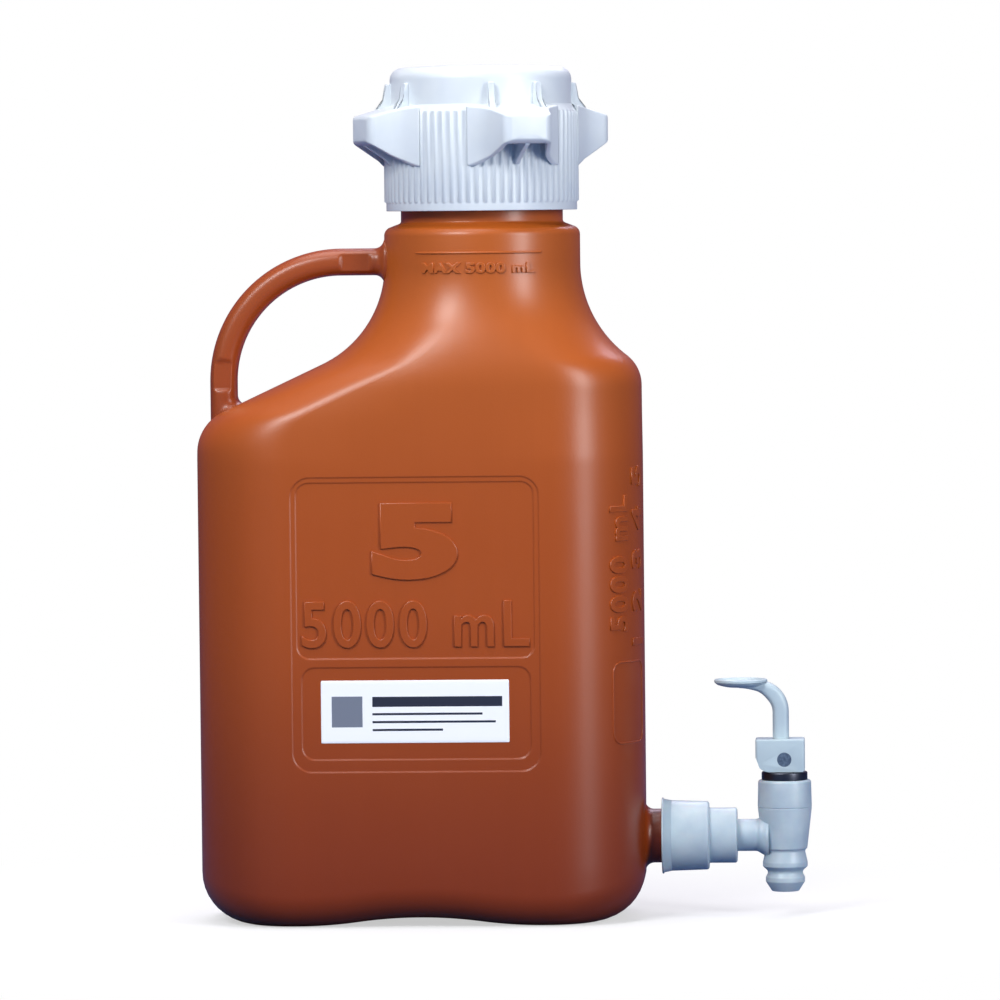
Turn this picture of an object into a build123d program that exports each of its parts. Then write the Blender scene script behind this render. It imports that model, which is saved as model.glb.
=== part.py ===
"""Five litre laboratory carboy with a winged screw closure and a self-closing lever tap.

Millimetres, +Z up. The origin is the centre of the body's footprint, at floor level. +X points to the
tap, -Y is the face with the framed panel. The bottle is one blow-moulded piece: body, sloping shoulder,
off-centre neck, loop handle and outlet boss. The closure, the tap and the tap's inner valve are separate
pieces that seat on it.
"""

import os
from math import asin, cos, degrees, pi, radians, sin, sqrt, tan

from build123d import *

# ---------------------------------------------------------------- driving sizes, bottle
body_width = 204.0
body_depth = 110.0
corner_radius = 44.0
wall = 2.4
base_round = 16.0

arch_width = 112.0  # shallow arch across the base, front to back
arch_rise = 3.8
arch_cut = 5.0  # the cut that shapes the arch starts this far below the floor

straight_top = 213.0  # the walls leave the vertical above this height
shoulder_top = 301.0  # the shoulder has become the round collar here
left_slope, left_convex, left_concave = 25.0, 20.0, 50.0
right_slope, right_convex, right_concave = 37.0, 17.0, 54.0
face_slope, face_convex, face_concave = 70.0, 80.0, 80.0
section_ease = 0.05  # keeps the last section's sides distinct from its corners
collar_step = 0.12  # the collar stands this far proud of the shoulder's end
side_bow = 10.0  # degrees by which the sides of a section bow out where it turns round
shoulder_steps = 11

neck_x = 29.4
collar_radius = 45.0
collar_top = 317.0
collar_round = 4.0
ledge_rise = 3.0
waist_radius = 37.2
waist_height = 12.0
finish_radius = 38.4
rim_top = 386.3
rim_round = 0.8
neck_wall = 3.4

panel_width = 113.0
panel_height = 134.0
panel_bottom = 71.4
panel_round = 9.0
panel_step = 0.5  # the frame lies this far in, and each window as far again
frame_band = 4.4
frame_rail = 7.6
lower_window_height = 50.0
window_round = 6.0
fill_line_z = 306.5
fill_line_width = 58.0
fill_line_size = 1.2

handle_radius = 54.5
handle_thick = 12.4
handle_wide = 20.0
handle_round = 5.4
handle_top = 302.4
handle_left = 90.3  # centre line of the upright part, left of the body's centre
pinch_depth = 1.2
pinch_length = 13.5
pinch_width = 9.4
pinch_round = 2.0
pinch_from_collar = 6.0
pinch_low_z = 251.0

boss_z = 37.0
boss_radius = 12.4
boss_thread_radius = 13.4
boss_bore = 8.5
boss_end = 121.0
boss_neck_end = 111.5
boss_fillet = 4.5

# ---------------------------------------------------------------- driving sizes, closure
cap_bottom = 325.5
skirt_radius = 44.7
skirt_inner = 42.2
rib_radius = 1.15
rib_count = 72
rib_proud = 0.9
rib_bottom = 329.2
rib_top = 371.0
dome_radius = 41.7
dome_foot = 374.0
dome_top = 392.3
dome_round = 6.0
dome_crown = 1.6
cap_wall = 2.3

wing_count = 4
wing_turn = 24.4  # the first wing's direction from +X
wing_reach = 59.5
wing_tip_half = 11.0
wing_root_half = 21.8
wing_root_radius = 39.4
wing_knee_radius, wing_knee_half = 46.6, 13.4
wing_fillet = 7.0
wing_corner = 1.6
wing_tip_top, wing_tip_bottom = 368.8, 356.4
wing_foot = 345.8
wing_under_radius, wing_under = 47.4, 348.6
wing_wall = 2.2
wing_top_wall = 2.4
gusset_spread = 15.0
gusset_thick = 3.0
gusset_top = 383.5
gusset_reach = 49.3
gusset_shoulder = 44.6
gusset_hollow = 14.0
gusset_sink = 0.4

gasket_thick = 2.0
seat_gap = 0.15

# ---------------------------------------------------------------- driving sizes, tap
tap_x = 166.0
nut_start = 109.5
nut_lip_radius, nut_lip_length = 17.5, 0.9
nut_radius_in, nut_radius_out = 16.35, 15.7
nut_step = 131.2
nut_hub_radius = 12.7
nut_end = 144.1
nut_edge = 1.0
tail_radius = 7.35
tail_bore = 4.5
flange_radius = 12.0
flange_thick = 3.5
washer_thick = 2.0
running_gap = 0.25

barrel_radius = 12.45
seam_z = 50.0
barrel_low_radius, barrel_low_z = 10.2, 31.0
nozzle_neck_radius = 9.1
ridge_radius, ridge_z = 10.3, 23.6
groove_radius, groove_z = 7.7, 20.2
lip_radius, lip_z = 9.0, 16.6
tip_radius = 6.2
ridge_land = 1.0
valve_seat_z = 28.0
seat_throat_radius, seat_throat_depth = 6.0, 5.0  # clears the plug's nose under the seat
chamber_radius = 8.3
outlet_end_z = 11.2
outlet_bore = 5.0
bonnet_top = 62.5
bonnet_socket_radius = 10.3
bonnet_socket_z = 43.0
bonnet_edge = 1.1
bonnet_top_radius = 12.15
bonnet_roof = 4.4
seal_wire = 0.8
wear_ring_radius = 10.55
wear_ring_top = 66.3
wear_ring_edge = 0.7
tail_pilot = 9.0
plug_radius, plug_thick = 7.4, 4.0
plug_nose, plug_nose_radius = 2.0, 3.4
stem_knob_radius, stem_knob_land = 2.0, 1.4
stem_collar_thick = 2.0
stem_radius = 3.5
stem_eye_radius = 5.6
stem_eye_thick = 7.2
pin_radius = 3.3
pin_play = 0.05
cam_low = 5.75  # pin axis to the cam's flat foot
cam_rate = 6.5  # millimetres of lift for each radian of tilt
cam_points = 4
cam_sweep = 38.0  # degrees of tilt that the cam is shaped for

lever_left, lever_right = 13.2, 9.4
lever_wide = 16.0
lever_top_above_pin = 9.3
lever_waist = 1.2
lever_heel = 1.0
lever_corner = 1.2
lever_edge = 0.8
eye_slot_length = 40.0
arm_shift = 1.5
arm_thick, arm_wide = 7.5, 8.6
arm_upright = 12.4
arm_bend = 11.3
paddle_radius = 12.2
paddle_thick = 3.0
paddle_centre = 19.7

spring_wire = 0.9
spring_turns = 5
spring_radius = 5.6

label_width, label_height, label_thick = 84.5, 28.0, 0.2
label_round = 0.6


# ---------------------------------------------------------------- derived places
wing_slope = (dome_foot - wing_tip_top) / (wing_reach - dome_radius)
os.makedirs("parts", exist_ok=True)

half_width = body_width / 2
half_depth = body_depth / 2
throat_radius = collar_radius - collar_step
pin_z = wear_ring_top + seat_gap + cam_low
front_plane = Plane.XZ.offset(half_depth)  # faces -Y, local x is +X, local y is +Z


def wall_run(height, run, slope, convex, concave):
    """Inward run, at a height, of a wall that leaves the vertical on a convex arc, climbs at a slope in
    degrees and turns back to the vertical on a concave arc that ends at shoulder_top."""
    lean, rise = 1 - sin(radians(slope)), cos(radians(slope))
    ramp = (run - (convex + concave) * lean) / cos(radians(slope))
    total = (convex + concave) * rise + ramp * sin(radians(slope))
    below_end = shoulder_top - height
    above_start = total - below_end
    if below_end <= 0:
        return run
    if above_start <= 0:
        return 0.0
    if below_end < concave * rise:
        return run - concave + sqrt(concave**2 - below_end**2)
    if above_start < convex * rise:
        return convex - sqrt(convex**2 - above_start**2)
    return run - concave * lean - (below_end - concave * rise) / tan(radians(slope))


def section_face(height, inset):
    """One closed section of the shoulder: four corner arcs joined by four sides, each tangent to the
    next. It is the body's rounded rectangle below and the collar's circle at shoulder_top."""
    share = max(0.0, (height - straight_top) / (shoulder_top - straight_top))
    left = -half_width + wall_run(
        height, neck_x - throat_radius + half_width, left_slope, left_convex - inset, left_concave + inset
    )
    right = half_width - wall_run(
        height, half_width - neck_x - throat_radius, right_slope, right_convex - inset, right_concave + inset
    )
    deep = half_depth - wall_run(
        height, half_depth - throat_radius, face_slope, face_convex - inset, face_concave + inset
    )
    corner = corner_radius + (throat_radius - section_ease - corner_radius) * share
    reach_x = (right - left) / 2 - corner
    reach_y = deep - corner
    bow = radians(side_bow * share)
    lever = tan(bow / 2)
    across = (reach_x - lever * reach_y) / (1 - lever**2)
    along = (reach_y - lever * reach_x) / (1 - lever**2)
    radius = corner - inset
    middle = Vector((left + right) / 2, 0, height)

    def point(sx, sy, angle):
        return middle + Vector(sx * (across + radius * cos(angle)), sy * (along + radius * sin(angle)), 0)

    quarter = pi / 2
    side_middles = [
        middle + Vector((right - left) / 2 - inset, 0, 0),
        middle + Vector(0, deep - inset, 0),
        middle - Vector((right - left) / 2 - inset, 0, 0),
        middle - Vector(0, deep - inset, 0),
    ]
    corners = [(1, -1), (1, 1), (-1, 1), (-1, -1)]
    with BuildLine() as outline:
        for index, (sx, sy) in enumerate(corners):
            first, last = (quarter - bow, bow) if sx * sy < 0 else (bow, quarter - bow)
            nx, ny = corners[(index + 1) % 4]
            following = quarter - bow if nx * ny < 0 else bow
            turn = ThreePointArc(point(sx, sy, first), point(sx, sy, quarter / 2), point(sx, sy, last))
            if bow < 1e-6:
                Line(turn @ 1, point(nx, ny, following))
            else:
                ThreePointArc(turn @ 1, side_middles[index], point(nx, ny, following))
    return Face(Wire(outline.edges()))


def vessel_form(inset, straight_strips):
    """The vessel's closed form, drawn in by inset: straight walls on an arched, rounded base, then the
    lofted shoulder up to the collar, smooth or in straight strips."""
    with BuildPart() as form:
        with BuildSketch():
            RectangleRounded(body_width - 2 * inset, body_depth - 2 * inset, corner_radius - inset)
        extrude(amount=straight_top)
        with BuildSketch(Plane.XZ):
            with BuildLine():
                foot = Line((-half_width, inset), (-arch_width / 2, inset))
                rise_left = TangentArc(foot @ 1, (-arch_width / 4, inset + arch_rise / 2), tangent=(1, 0))
                crown = ThreePointArc(rise_left @ 1, (0, inset + arch_rise), (arch_width / 4, inset + arch_rise / 2))
                rise_right = TangentArc((arch_width / 2, inset), crown @ 1, tangent=(-1, 0))
                Polyline(
                    rise_right @ 0,
                    (half_width, inset),
                    (half_width, -arch_cut),
                    (-half_width, -arch_cut),
                    foot @ 0,
                )
            make_face()
        extrude(amount=half_depth, both=True, mode=Mode.SUBTRACT)
        low = form.edges().filter_by(lambda e: e.bounding_box().max.Z < inset + arch_rise + 1)
        fillet(low, base_round - inset)
        heights = [
            straight_top + (shoulder_top - straight_top) * k / shoulder_steps for k in range(shoulder_steps + 1)
        ]
        loft([section_face(h, inset) for h in heights], ruled=straight_strips)
    return form.part


# ---------------------------------------------------------------- bottle
neck_axis = Axis((neck_x, 0, 0), (0, 0, 1))
neck_plane = Plane(origin=(neck_x, 0, 0))
boss_axis = Axis((0, 0, boss_z), (1, 0, 0))
boss_plane = Plane(origin=(0, 0, boss_z), x_dir=(0, 1, 0), z_dir=(1, 0, 0))
waist_bottom = collar_top + ledge_rise
finish_bottom = waist_bottom + waist_height

with BuildPart() as vessel_room:
    add(vessel_form(wall, straight_strips=True))
    with BuildSketch(front_plane.offset(-wall - 2 * panel_step)):
        with Locations((0, panel_bottom + panel_height / 2)):
            RectangleRounded(panel_width + 2 * wall, panel_height + 2 * wall, panel_round + wall)
    extrude(amount=2 * panel_step + wall, mode=Mode.SUBTRACT)
    with BuildSketch(Plane.XZ):
        with BuildLine():
            Polyline(
                (neck_x, shoulder_top),
                (neck_x + collar_radius - wall, shoulder_top),
                (neck_x + collar_radius - wall, collar_top - wall),
                (neck_x + finish_radius - neck_wall, waist_bottom),
                (neck_x + finish_radius - neck_wall, rim_top + 1),
                (neck_x, rim_top + 1),
                close=True,
            )
        make_face()
    revolve(axis=neck_axis)
    with BuildSketch(boss_plane.offset(half_width - 2 * wall)):
        Circle(boss_bore)
    extrude(amount=boss_end - half_width + 3 * wall)

with BuildPart() as bottle:
    add(vessel_form(0, straight_strips=False))
    with BuildSketch(boss_plane.offset(half_width - wall)):
        Circle(boss_radius)
    extrude(amount=boss_end - half_width + wall)
    boss_root = bottle.edges().filter_by(
        lambda e: e.geom_type != GeomType.LINE
        and abs(e.center().X - half_width) < wall
        and abs(e.center().Z - boss_z) <= boss_radius
        and e.bounding_box().size.Y > 1
    )
    fillet(boss_root, boss_fillet)
    with BuildSketch(boss_plane.offset(boss_neck_end)):
        Circle(boss_thread_radius)
    extrude(amount=boss_end - boss_neck_end)

    # collar, its ledge, the waist and the finish that the closure screws on
    with BuildSketch(Plane.XZ):
        with BuildLine():
            Polyline(
                (neck_x, shoulder_top),
                (neck_x + collar_radius, shoulder_top),
                (neck_x + collar_radius, collar_top),
                (neck_x + waist_radius, waist_bottom),
                (neck_x + waist_radius, finish_bottom),
                (neck_x + finish_radius, finish_bottom),
                (neck_x + finish_radius, rim_top),
                (neck_x, rim_top),
                close=True,
            )
        outline = make_face()
        fillet(outline.vertices().sort_by_distance((neck_x + collar_radius, collar_top, 0))[0], collar_round)
    revolve(axis=neck_axis)

    # loop handle, from the collar round to the shoulder
    with BuildLine(Plane.XZ) as handle_path:
        bar = Line((neck_x - collar_radius + handle_thick, handle_top), (handle_radius - handle_left, handle_top))
        bend = JernArc(bar @ 1, (-1, 0), handle_radius, 90)
        Line(bend @ 1, (-handle_left, straight_top))
    with BuildSketch(Plane(origin=bar @ 0, x_dir=(0, 1, 0), z_dir=(-1, 0, 0))):
        RectangleRounded(handle_wide, handle_thick, handle_round)
    sweep(path=handle_path.line)

    # pinched pads where the handle's mould closes it off, on both faces
    pad_ends = [
        (neck_x - collar_radius - pinch_from_collar - pinch_length / 2, handle_top, 0),
        (-handle_left, pinch_low_z, 90),
    ]
    for side in (-1, 1):
        for pad_x, pad_z, turn in pad_ends:
            pad_plane = Plane(origin=(pad_x, side * handle_wide / 2, pad_z), x_dir=(1, 0, 0), z_dir=(0, side, 0))
            with BuildSketch(pad_plane):
                RectangleRounded(pinch_length, pinch_width, pinch_round, rotation=turn)
            extrude(amount=-pinch_depth, mode=Mode.SUBTRACT)

    # two-step framed panel on the front
    with BuildSketch(front_plane):
        with Locations((0, panel_bottom + panel_height / 2)):
            RectangleRounded(panel_width, panel_height, panel_round)
    extrude(amount=-panel_step, mode=Mode.SUBTRACT)
    window_width = panel_width - 2 * frame_band
    upper_bottom = panel_bottom + frame_band + lower_window_height + frame_rail
    upper_height = panel_bottom + panel_height - frame_band - upper_bottom
    with BuildSketch(front_plane.offset(-panel_step)):
        with Locations((0, panel_bottom + frame_band + lower_window_height / 2)):
            RectangleRounded(window_width, lower_window_height, window_round)
        with Locations((0, upper_bottom + upper_height / 2)):
            RectangleRounded(window_width, upper_height, window_round)
    extrude(amount=-panel_step, mode=Mode.SUBTRACT)

    # raised fill line across the front of the collar
    fill_half = degrees(asin(fill_line_width / 2 / collar_radius))
    with BuildSketch(Plane(origin=(neck_x, 0, 0), x_dir=Vector(1, 0, 0).rotate(Axis.Z, -90 - fill_half),
                           z_dir=Vector(0, -1, 0).rotate(Axis.Z, -90 - fill_half))):
        with Locations((collar_radius, fill_line_z)):
            Rectangle(fill_line_size, fill_line_size)
    revolve(axis=neck_axis, revolution_arc=2 * fill_half)

    add(vessel_room.part, mode=Mode.SUBTRACT)
    rim_edges = bottle.edges().filter_by(GeomType.CIRCLE).filter_by_position(Axis.Z, rim_top - 0.01, rim_top + 0.01)
    chamfer(rim_edges, rim_round)
bottle.part.label = "bottle"
export_step(bottle.part, "parts/bottle.step")

# ---------------------------------------------------------------- closure
seat_z = rim_top + seat_gap
roof_z = seat_z + gasket_thick + seat_gap
liner_room = dome_radius - cap_wall
skirt_face = skirt_radius - rib_proud
gasket_inner = finish_radius - neck_wall - 1.0
neck_side = Plane(origin=(neck_x, 0, 0), x_dir=(1, 0, 0), z_dir=(0, -1, 0))

# one wing, square to +X about the closure's own axis, with its gussets, and the pockets in its underside


def wing_plan(inset):
    """Plan of a wing: a blunt tip, nearly straight flanks and a concave sweep into the skirt."""
    with BuildSketch() as plan:
        with BuildLine():
            Polyline(
                (wing_root_radius, -wing_root_half),
                (wing_knee_radius, -wing_knee_half),
                (wing_reach, -wing_tip_half),
                (wing_reach, wing_tip_half),
                (wing_knee_radius, wing_knee_half),
                (wing_root_radius, wing_root_half),
                close=True,
            )
        make_face()
        fillet(plan.vertices().group_by(Axis.X)[1], wing_fillet)
        fillet(plan.vertices().group_by(Axis.X)[-1], wing_corner)
        if inset:
            offset(amount=-inset, mode=Mode.REPLACE)
    return plan.sketch


with BuildPart() as wing:
    with BuildSketch(Plane.XY.offset(cap_bottom)):
        add(wing_plan(0))
    extrude(amount=dome_top - cap_bottom)
    with BuildSketch(Plane.XZ):
        with BuildLine():
            Polyline(
                (0, wing_foot),
                (skirt_radius, wing_foot),
                (wing_under_radius, wing_under),
                (wing_reach, wing_tip_bottom),
                (wing_reach, wing_tip_top),
                (dome_radius, dome_foot),
                (0, dome_foot),
                close=True,
            )
        side = make_face()
        fillet(side.vertices().group_by(Axis.X)[-1], wing_corner)
    revolve(axis=Axis.Z, mode=Mode.INTERSECT)
    for spread in (-gusset_spread, gusset_spread):
        turn = radians(spread)
        rib_plane = Plane(origin=(0, 0, 0), x_dir=(cos(turn), sin(turn), 0), z_dir=(sin(turn), -cos(turn), 0))
        with BuildSketch(rib_plane):
            with BuildLine():
                gusset_land = dome_foot - (gusset_reach - dome_radius) * wing_slope - gusset_sink
                crest = Line((dome_radius - cap_wall / 2, gusset_top), (gusset_shoulder, gusset_top))
                hollow = RadiusArc(crest @ 1, (gusset_reach, gusset_land), -gusset_hollow)
                Polyline(hollow @ 1, (gusset_reach, gusset_land - 1), (dome_radius - cap_wall / 2, gusset_land - 1), crest @ 0)
            make_face()
        extrude(amount=gusset_thick / 2, both=True)

with BuildPart() as wing_pockets:
    with BuildSketch(Plane.XY.offset(cap_bottom)):
        add(wing_plan(wing_wall))
        Circle(skirt_radius, mode=Mode.SUBTRACT)
        Rectangle(2 * wing_reach, wing_wall, mode=Mode.SUBTRACT)
    extrude(amount=dome_top - cap_bottom)
    with BuildSketch(Plane.XZ):
        with BuildLine():
            Polyline(
                (0, cap_bottom),
                (wing_reach, cap_bottom),
                (wing_reach, wing_tip_top - wing_top_wall),
                (dome_radius, dome_foot - wing_top_wall),
                (0, dome_foot - wing_top_wall),
                close=True,
            )
        make_face()
    revolve(axis=Axis.Z, mode=Mode.INTERSECT)

with BuildPart(neck_plane) as cap:
    with BuildSketch(neck_side):
        with BuildLine():
            Polyline(
                (0, cap_bottom),
                (skirt_face, cap_bottom),
                (skirt_face, rib_top),
                (dome_radius, dome_foot),
                (dome_radius, dome_top - dome_crown),
                (0, dome_top),
                close=True,
            )
        outline = make_face()
        corner = outline.vertices().sort_by_distance((dome_radius, dome_top - dome_crown, 0))[0]
        fillet(corner, dome_round)
    revolve(axis=neck_axis)
    with BuildSketch(neck_plane.offset(rib_bottom)):
        with PolarLocations(skirt_radius - rib_radius, rib_count):
            Circle(rib_radius)
    extrude(amount=rib_top - rib_bottom)
    with PolarLocations(0, wing_count, start_angle=wing_turn):
        add(wing.part)
    with PolarLocations(0, wing_count, start_angle=wing_turn):
        add(wing_pockets.part, mode=Mode.SUBTRACT)
    with BuildSketch(neck_side):
        with BuildLine():
            Polyline(
                (0, cap_bottom),
                (skirt_inner, cap_bottom),
                (skirt_inner, rib_top),
                (liner_room, dome_foot),
                (liner_room, roof_z),
                (0, roof_z),
                close=True,
            )
        make_face()
    revolve(axis=neck_axis, mode=Mode.SUBTRACT)
cap.part.label = "cap"
export_step(cap.part, "parts/cap.step")

with BuildPart() as cap_gasket:
    with BuildSketch(neck_plane.offset(seat_z)):
        Circle(liner_room - seat_gap)
        Circle(gasket_inner, mode=Mode.SUBTRACT)
    extrude(amount=gasket_thick)
cap_gasket.part.label = "cap_gasket"
export_step(cap_gasket.part, "parts/cap_gasket.step")

# ---------------------------------------------------------------- outlet nut and its washer
washer_end = boss_end + washer_thick
flange_end = washer_end + flange_thick

with BuildPart() as outlet_gasket:
    with BuildSketch(boss_plane.offset(boss_end)):
        Circle(flange_radius)
        Circle(tail_radius + running_gap, mode=Mode.SUBTRACT)
    extrude(amount=washer_thick)
outlet_gasket.part.label = "outlet_gasket"
export_step(outlet_gasket.part, "parts/outlet_gasket.step")

with BuildPart() as outlet_nut:
    with BuildSketch(Plane.XZ):
        with BuildLine():
            Polyline(
                (nut_start, boss_z),
                (nut_start, boss_z + nut_lip_radius),
                (nut_start + nut_lip_length, boss_z + nut_lip_radius),
                (nut_start + nut_lip_length, boss_z + nut_radius_in),
                (nut_step, boss_z + nut_radius_out),
                (nut_step, boss_z + nut_hub_radius),
                (nut_end, boss_z + nut_hub_radius),
                (nut_end, boss_z),
                close=True,
            )
        outline = make_face()
        chamfer(outline.vertices().sort_by_distance((nut_step, boss_z + nut_radius_out, 0))[0], nut_edge)
        chamfer(outline.vertices().sort_by_distance((nut_end, boss_z + nut_hub_radius, 0))[0], nut_edge)
    revolve(axis=boss_axis)
    with BuildSketch(boss_plane.offset(nut_start)):
        Circle(boss_thread_radius + running_gap)
    extrude(amount=flange_end - nut_start, mode=Mode.SUBTRACT)
    with BuildSketch(boss_plane.offset(flange_end)):
        Circle(tail_radius + running_gap)
    extrude(amount=nut_end - flange_end, mode=Mode.SUBTRACT)
outlet_nut.part.label = "outlet_nut"
export_step(outlet_nut.part, "parts/outlet_nut.step")

# ---------------------------------------------------------------- tap
tap_axis = Axis((tap_x, 0, 0), (0, 0, 1))
tap_plane = Plane(origin=(tap_x, 0, 0))
tap_side = Plane(origin=(tap_x, 0, 0), x_dir=(1, 0, 0), z_dir=(0, -1, 0))

with BuildPart() as spigot_body:
    with BuildSketch(tap_side):
        with BuildLine():
            Polyline(
                (0, outlet_end_z),
                (tip_radius, outlet_end_z),
                (lip_radius, lip_z - ridge_land),
                (lip_radius, lip_z + ridge_land),
                (groove_radius, groove_z),
                (ridge_radius, ridge_z - ridge_land),
                (ridge_radius, ridge_z + ridge_land),
                (nozzle_neck_radius, barrel_low_z - ridge_land),
                (barrel_low_radius, barrel_low_z),
                (barrel_radius, seam_z),
                (0, seam_z),
                close=True,
            )
        make_face()
    revolve(axis=tap_axis)
    with BuildSketch(boss_plane.offset(boss_end - tail_pilot)):
        Circle(tail_radius)
    extrude(amount=tap_x - boss_end + tail_pilot)
    with BuildSketch(boss_plane.offset(washer_end)):
        Circle(flange_radius)
    extrude(amount=flange_thick)
    with BuildSketch(tap_plane.offset(valve_seat_z)):
        Circle(chamber_radius)
    extrude(amount=seam_z - valve_seat_z, mode=Mode.SUBTRACT)
    with BuildSketch(tap_plane.offset(bonnet_socket_z)):
        Circle(bonnet_socket_radius)
    extrude(amount=seam_z - bonnet_socket_z, mode=Mode.SUBTRACT)
    with BuildSketch(tap_plane.offset(valve_seat_z - seat_throat_depth)):
        Circle(seat_throat_radius)
    extrude(amount=seat_throat_depth, mode=Mode.SUBTRACT)
    with BuildSketch(tap_plane.offset(outlet_end_z)):
        Circle(outlet_bore)
    extrude(amount=valve_seat_z - seat_throat_depth - outlet_end_z, mode=Mode.SUBTRACT)
    with BuildSketch(boss_plane.offset(boss_end - tail_pilot)):
        Circle(tail_bore)
    extrude(amount=tap_x - boss_end + tail_pilot, mode=Mode.SUBTRACT)
spigot_body.part.label = "spigot_body"
export_step(spigot_body.part, "parts/spigot_body.step")

stem_hole = stem_radius + running_gap
bonnet_ceiling = bonnet_top - bonnet_roof
seal_height = 2 * seal_wire
with BuildPart() as bonnet:
    with BuildSketch(tap_side):
        with BuildLine():
            Polyline(
                (chamber_radius, bonnet_socket_z),
                (bonnet_socket_radius, bonnet_socket_z),
                (bonnet_socket_radius, seam_z),
                (barrel_radius, seam_z),
                (bonnet_top_radius, bonnet_top),
                (stem_hole, bonnet_top),
                (stem_hole, bonnet_ceiling + seal_height + seal_wire),
                (stem_hole + seal_height, bonnet_ceiling + seal_height + seal_wire),
                (stem_hole + seal_height, bonnet_ceiling + seal_wire),
                (stem_hole, bonnet_ceiling + seal_wire),
                (stem_hole, bonnet_ceiling),
                (chamber_radius, bonnet_ceiling),
                close=True,
            )
        outline = make_face()
        corner = outline.vertices().sort_by_distance((bonnet_top_radius, bonnet_top, 0))[0]
        chamfer(corner, bonnet_edge)
    revolve(axis=tap_axis)
bonnet.part.label = "bonnet"
export_step(bonnet.part, "parts/bonnet.step")

with BuildPart() as stem_seal:
    with BuildSketch(tap_side):
        with Locations((stem_hole + seal_wire, bonnet_ceiling + 2 * seal_wire)):
            Rectangle(seal_height, seal_height)
    revolve(axis=tap_axis)
stem_seal.part.label = "stem_seal"
export_step(stem_seal.part, "parts/stem_seal.step")

with BuildPart() as bonnet_ring:
    with BuildSketch(tap_side):
        with BuildLine():
            Polyline(
                (stem_hole, bonnet_top),
                (wear_ring_radius, bonnet_top),
                (wear_ring_radius, wear_ring_top),
                (stem_hole, wear_ring_top),
                close=True,
            )
        outline = make_face()
        corner = outline.vertices().sort_by_distance((wear_ring_radius, wear_ring_top, 0))[0]
        chamfer(corner, wear_ring_edge)
    revolve(axis=tap_axis)
bonnet_ring.part.label = "bonnet_ring"
export_step(bonnet_ring.part, "parts/bonnet_ring.step")

# ---------------------------------------------------------------- valve: plug, stem, spring
plug_bottom = valve_seat_z + seat_gap
plug_top = plug_bottom + plug_thick
collar_of_stem = plug_top + stem_collar_thick

with BuildPart() as valve_plug:
    with BuildSketch(tap_side):
        with BuildLine():
            Polyline(
                (0, plug_bottom - plug_nose),
                (plug_nose_radius, plug_bottom - plug_nose),
                (outlet_bore - 2 * seat_gap, plug_bottom),
                (plug_radius, plug_bottom),
                (plug_radius, plug_top),
                (stem_knob_radius, plug_top),
                (stem_knob_radius, plug_bottom + stem_knob_land),
                (0, plug_bottom + stem_knob_land),
                close=True,
            )
        make_face()
    revolve(axis=tap_axis)
valve_plug.part.label = "valve_plug"
export_step(valve_plug.part, "parts/valve_plug.step")

pin_side = Plane(origin=(tap_x, 0, pin_z), x_dir=(1, 0, 0), z_dir=(0, -1, 0))
with BuildPart() as valve_stem:
    with BuildSketch(tap_side):
        with BuildLine():
            Polyline(
                (0, plug_bottom + stem_knob_land),
                (stem_knob_radius, plug_bottom + stem_knob_land),
                (stem_knob_radius, plug_top),
                (plug_radius, plug_top),
                (plug_radius, collar_of_stem),
                (stem_radius, collar_of_stem),
                (stem_radius, pin_z),
                (0, pin_z),
                close=True,
            )
        make_face()
    revolve(axis=tap_axis)
    with BuildSketch(pin_side):
        Circle(stem_eye_radius)
    extrude(amount=stem_eye_thick / 2, both=True)
    with BuildSketch(pin_side):
        Circle(pin_radius + pin_play)
    extrude(amount=stem_eye_thick, both=True, mode=Mode.SUBTRACT)
valve_stem.part.label = "valve_stem"
export_step(valve_stem.part, "parts/valve_stem.step")

spring_bottom = collar_of_stem + spring_wire / 2
spring_top = bonnet_ceiling - spring_wire / 2
spring_start = Plane(origin=(tap_x + spring_radius, 0, spring_bottom), x_dir=(1, 0, 0), z_dir=(0, 1, 0))
with BuildPart() as valve_spring:
    with BuildLine(tap_plane.offset(spring_bottom)) as coil:
        Helix(pitch=(spring_top - spring_bottom) / spring_turns, height=spring_top - spring_bottom, radius=spring_radius)
    with BuildSketch(spring_start):
        Rectangle(spring_wire, spring_wire)
    sweep(path=coil.line, is_frenet=True)
valve_spring.part.label = "valve_spring"
export_step(valve_spring.part, "parts/valve_spring.step")

# ---------------------------------------------------------------- lever and its pin


def cam_point(tilt):
    """Point of the foot that bears on the ring when the lever has tilted by this many degrees. The cam's
    support is cam_low + cam_rate * tilt, so the stem's lift grows evenly with the tilt."""
    angle = radians(tilt)
    support = cam_low + cam_rate * angle
    return (-support * sin(angle) - cam_rate * cos(angle), -support * cos(angle) + cam_rate * sin(angle))


arm_outer, arm_inner = arm_shift - arm_thick / 2, arm_shift + arm_thick / 2
bend_z = lever_top_above_pin + arm_upright
paddle_top = bend_z + arm_bend + arm_thick / 2
paddle_bottom = paddle_top - paddle_thick
bend_x = -arm_shift - arm_bend
paddle_plane = Plane(origin=(tap_x - paddle_centre, 0, pin_z + paddle_bottom))

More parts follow.
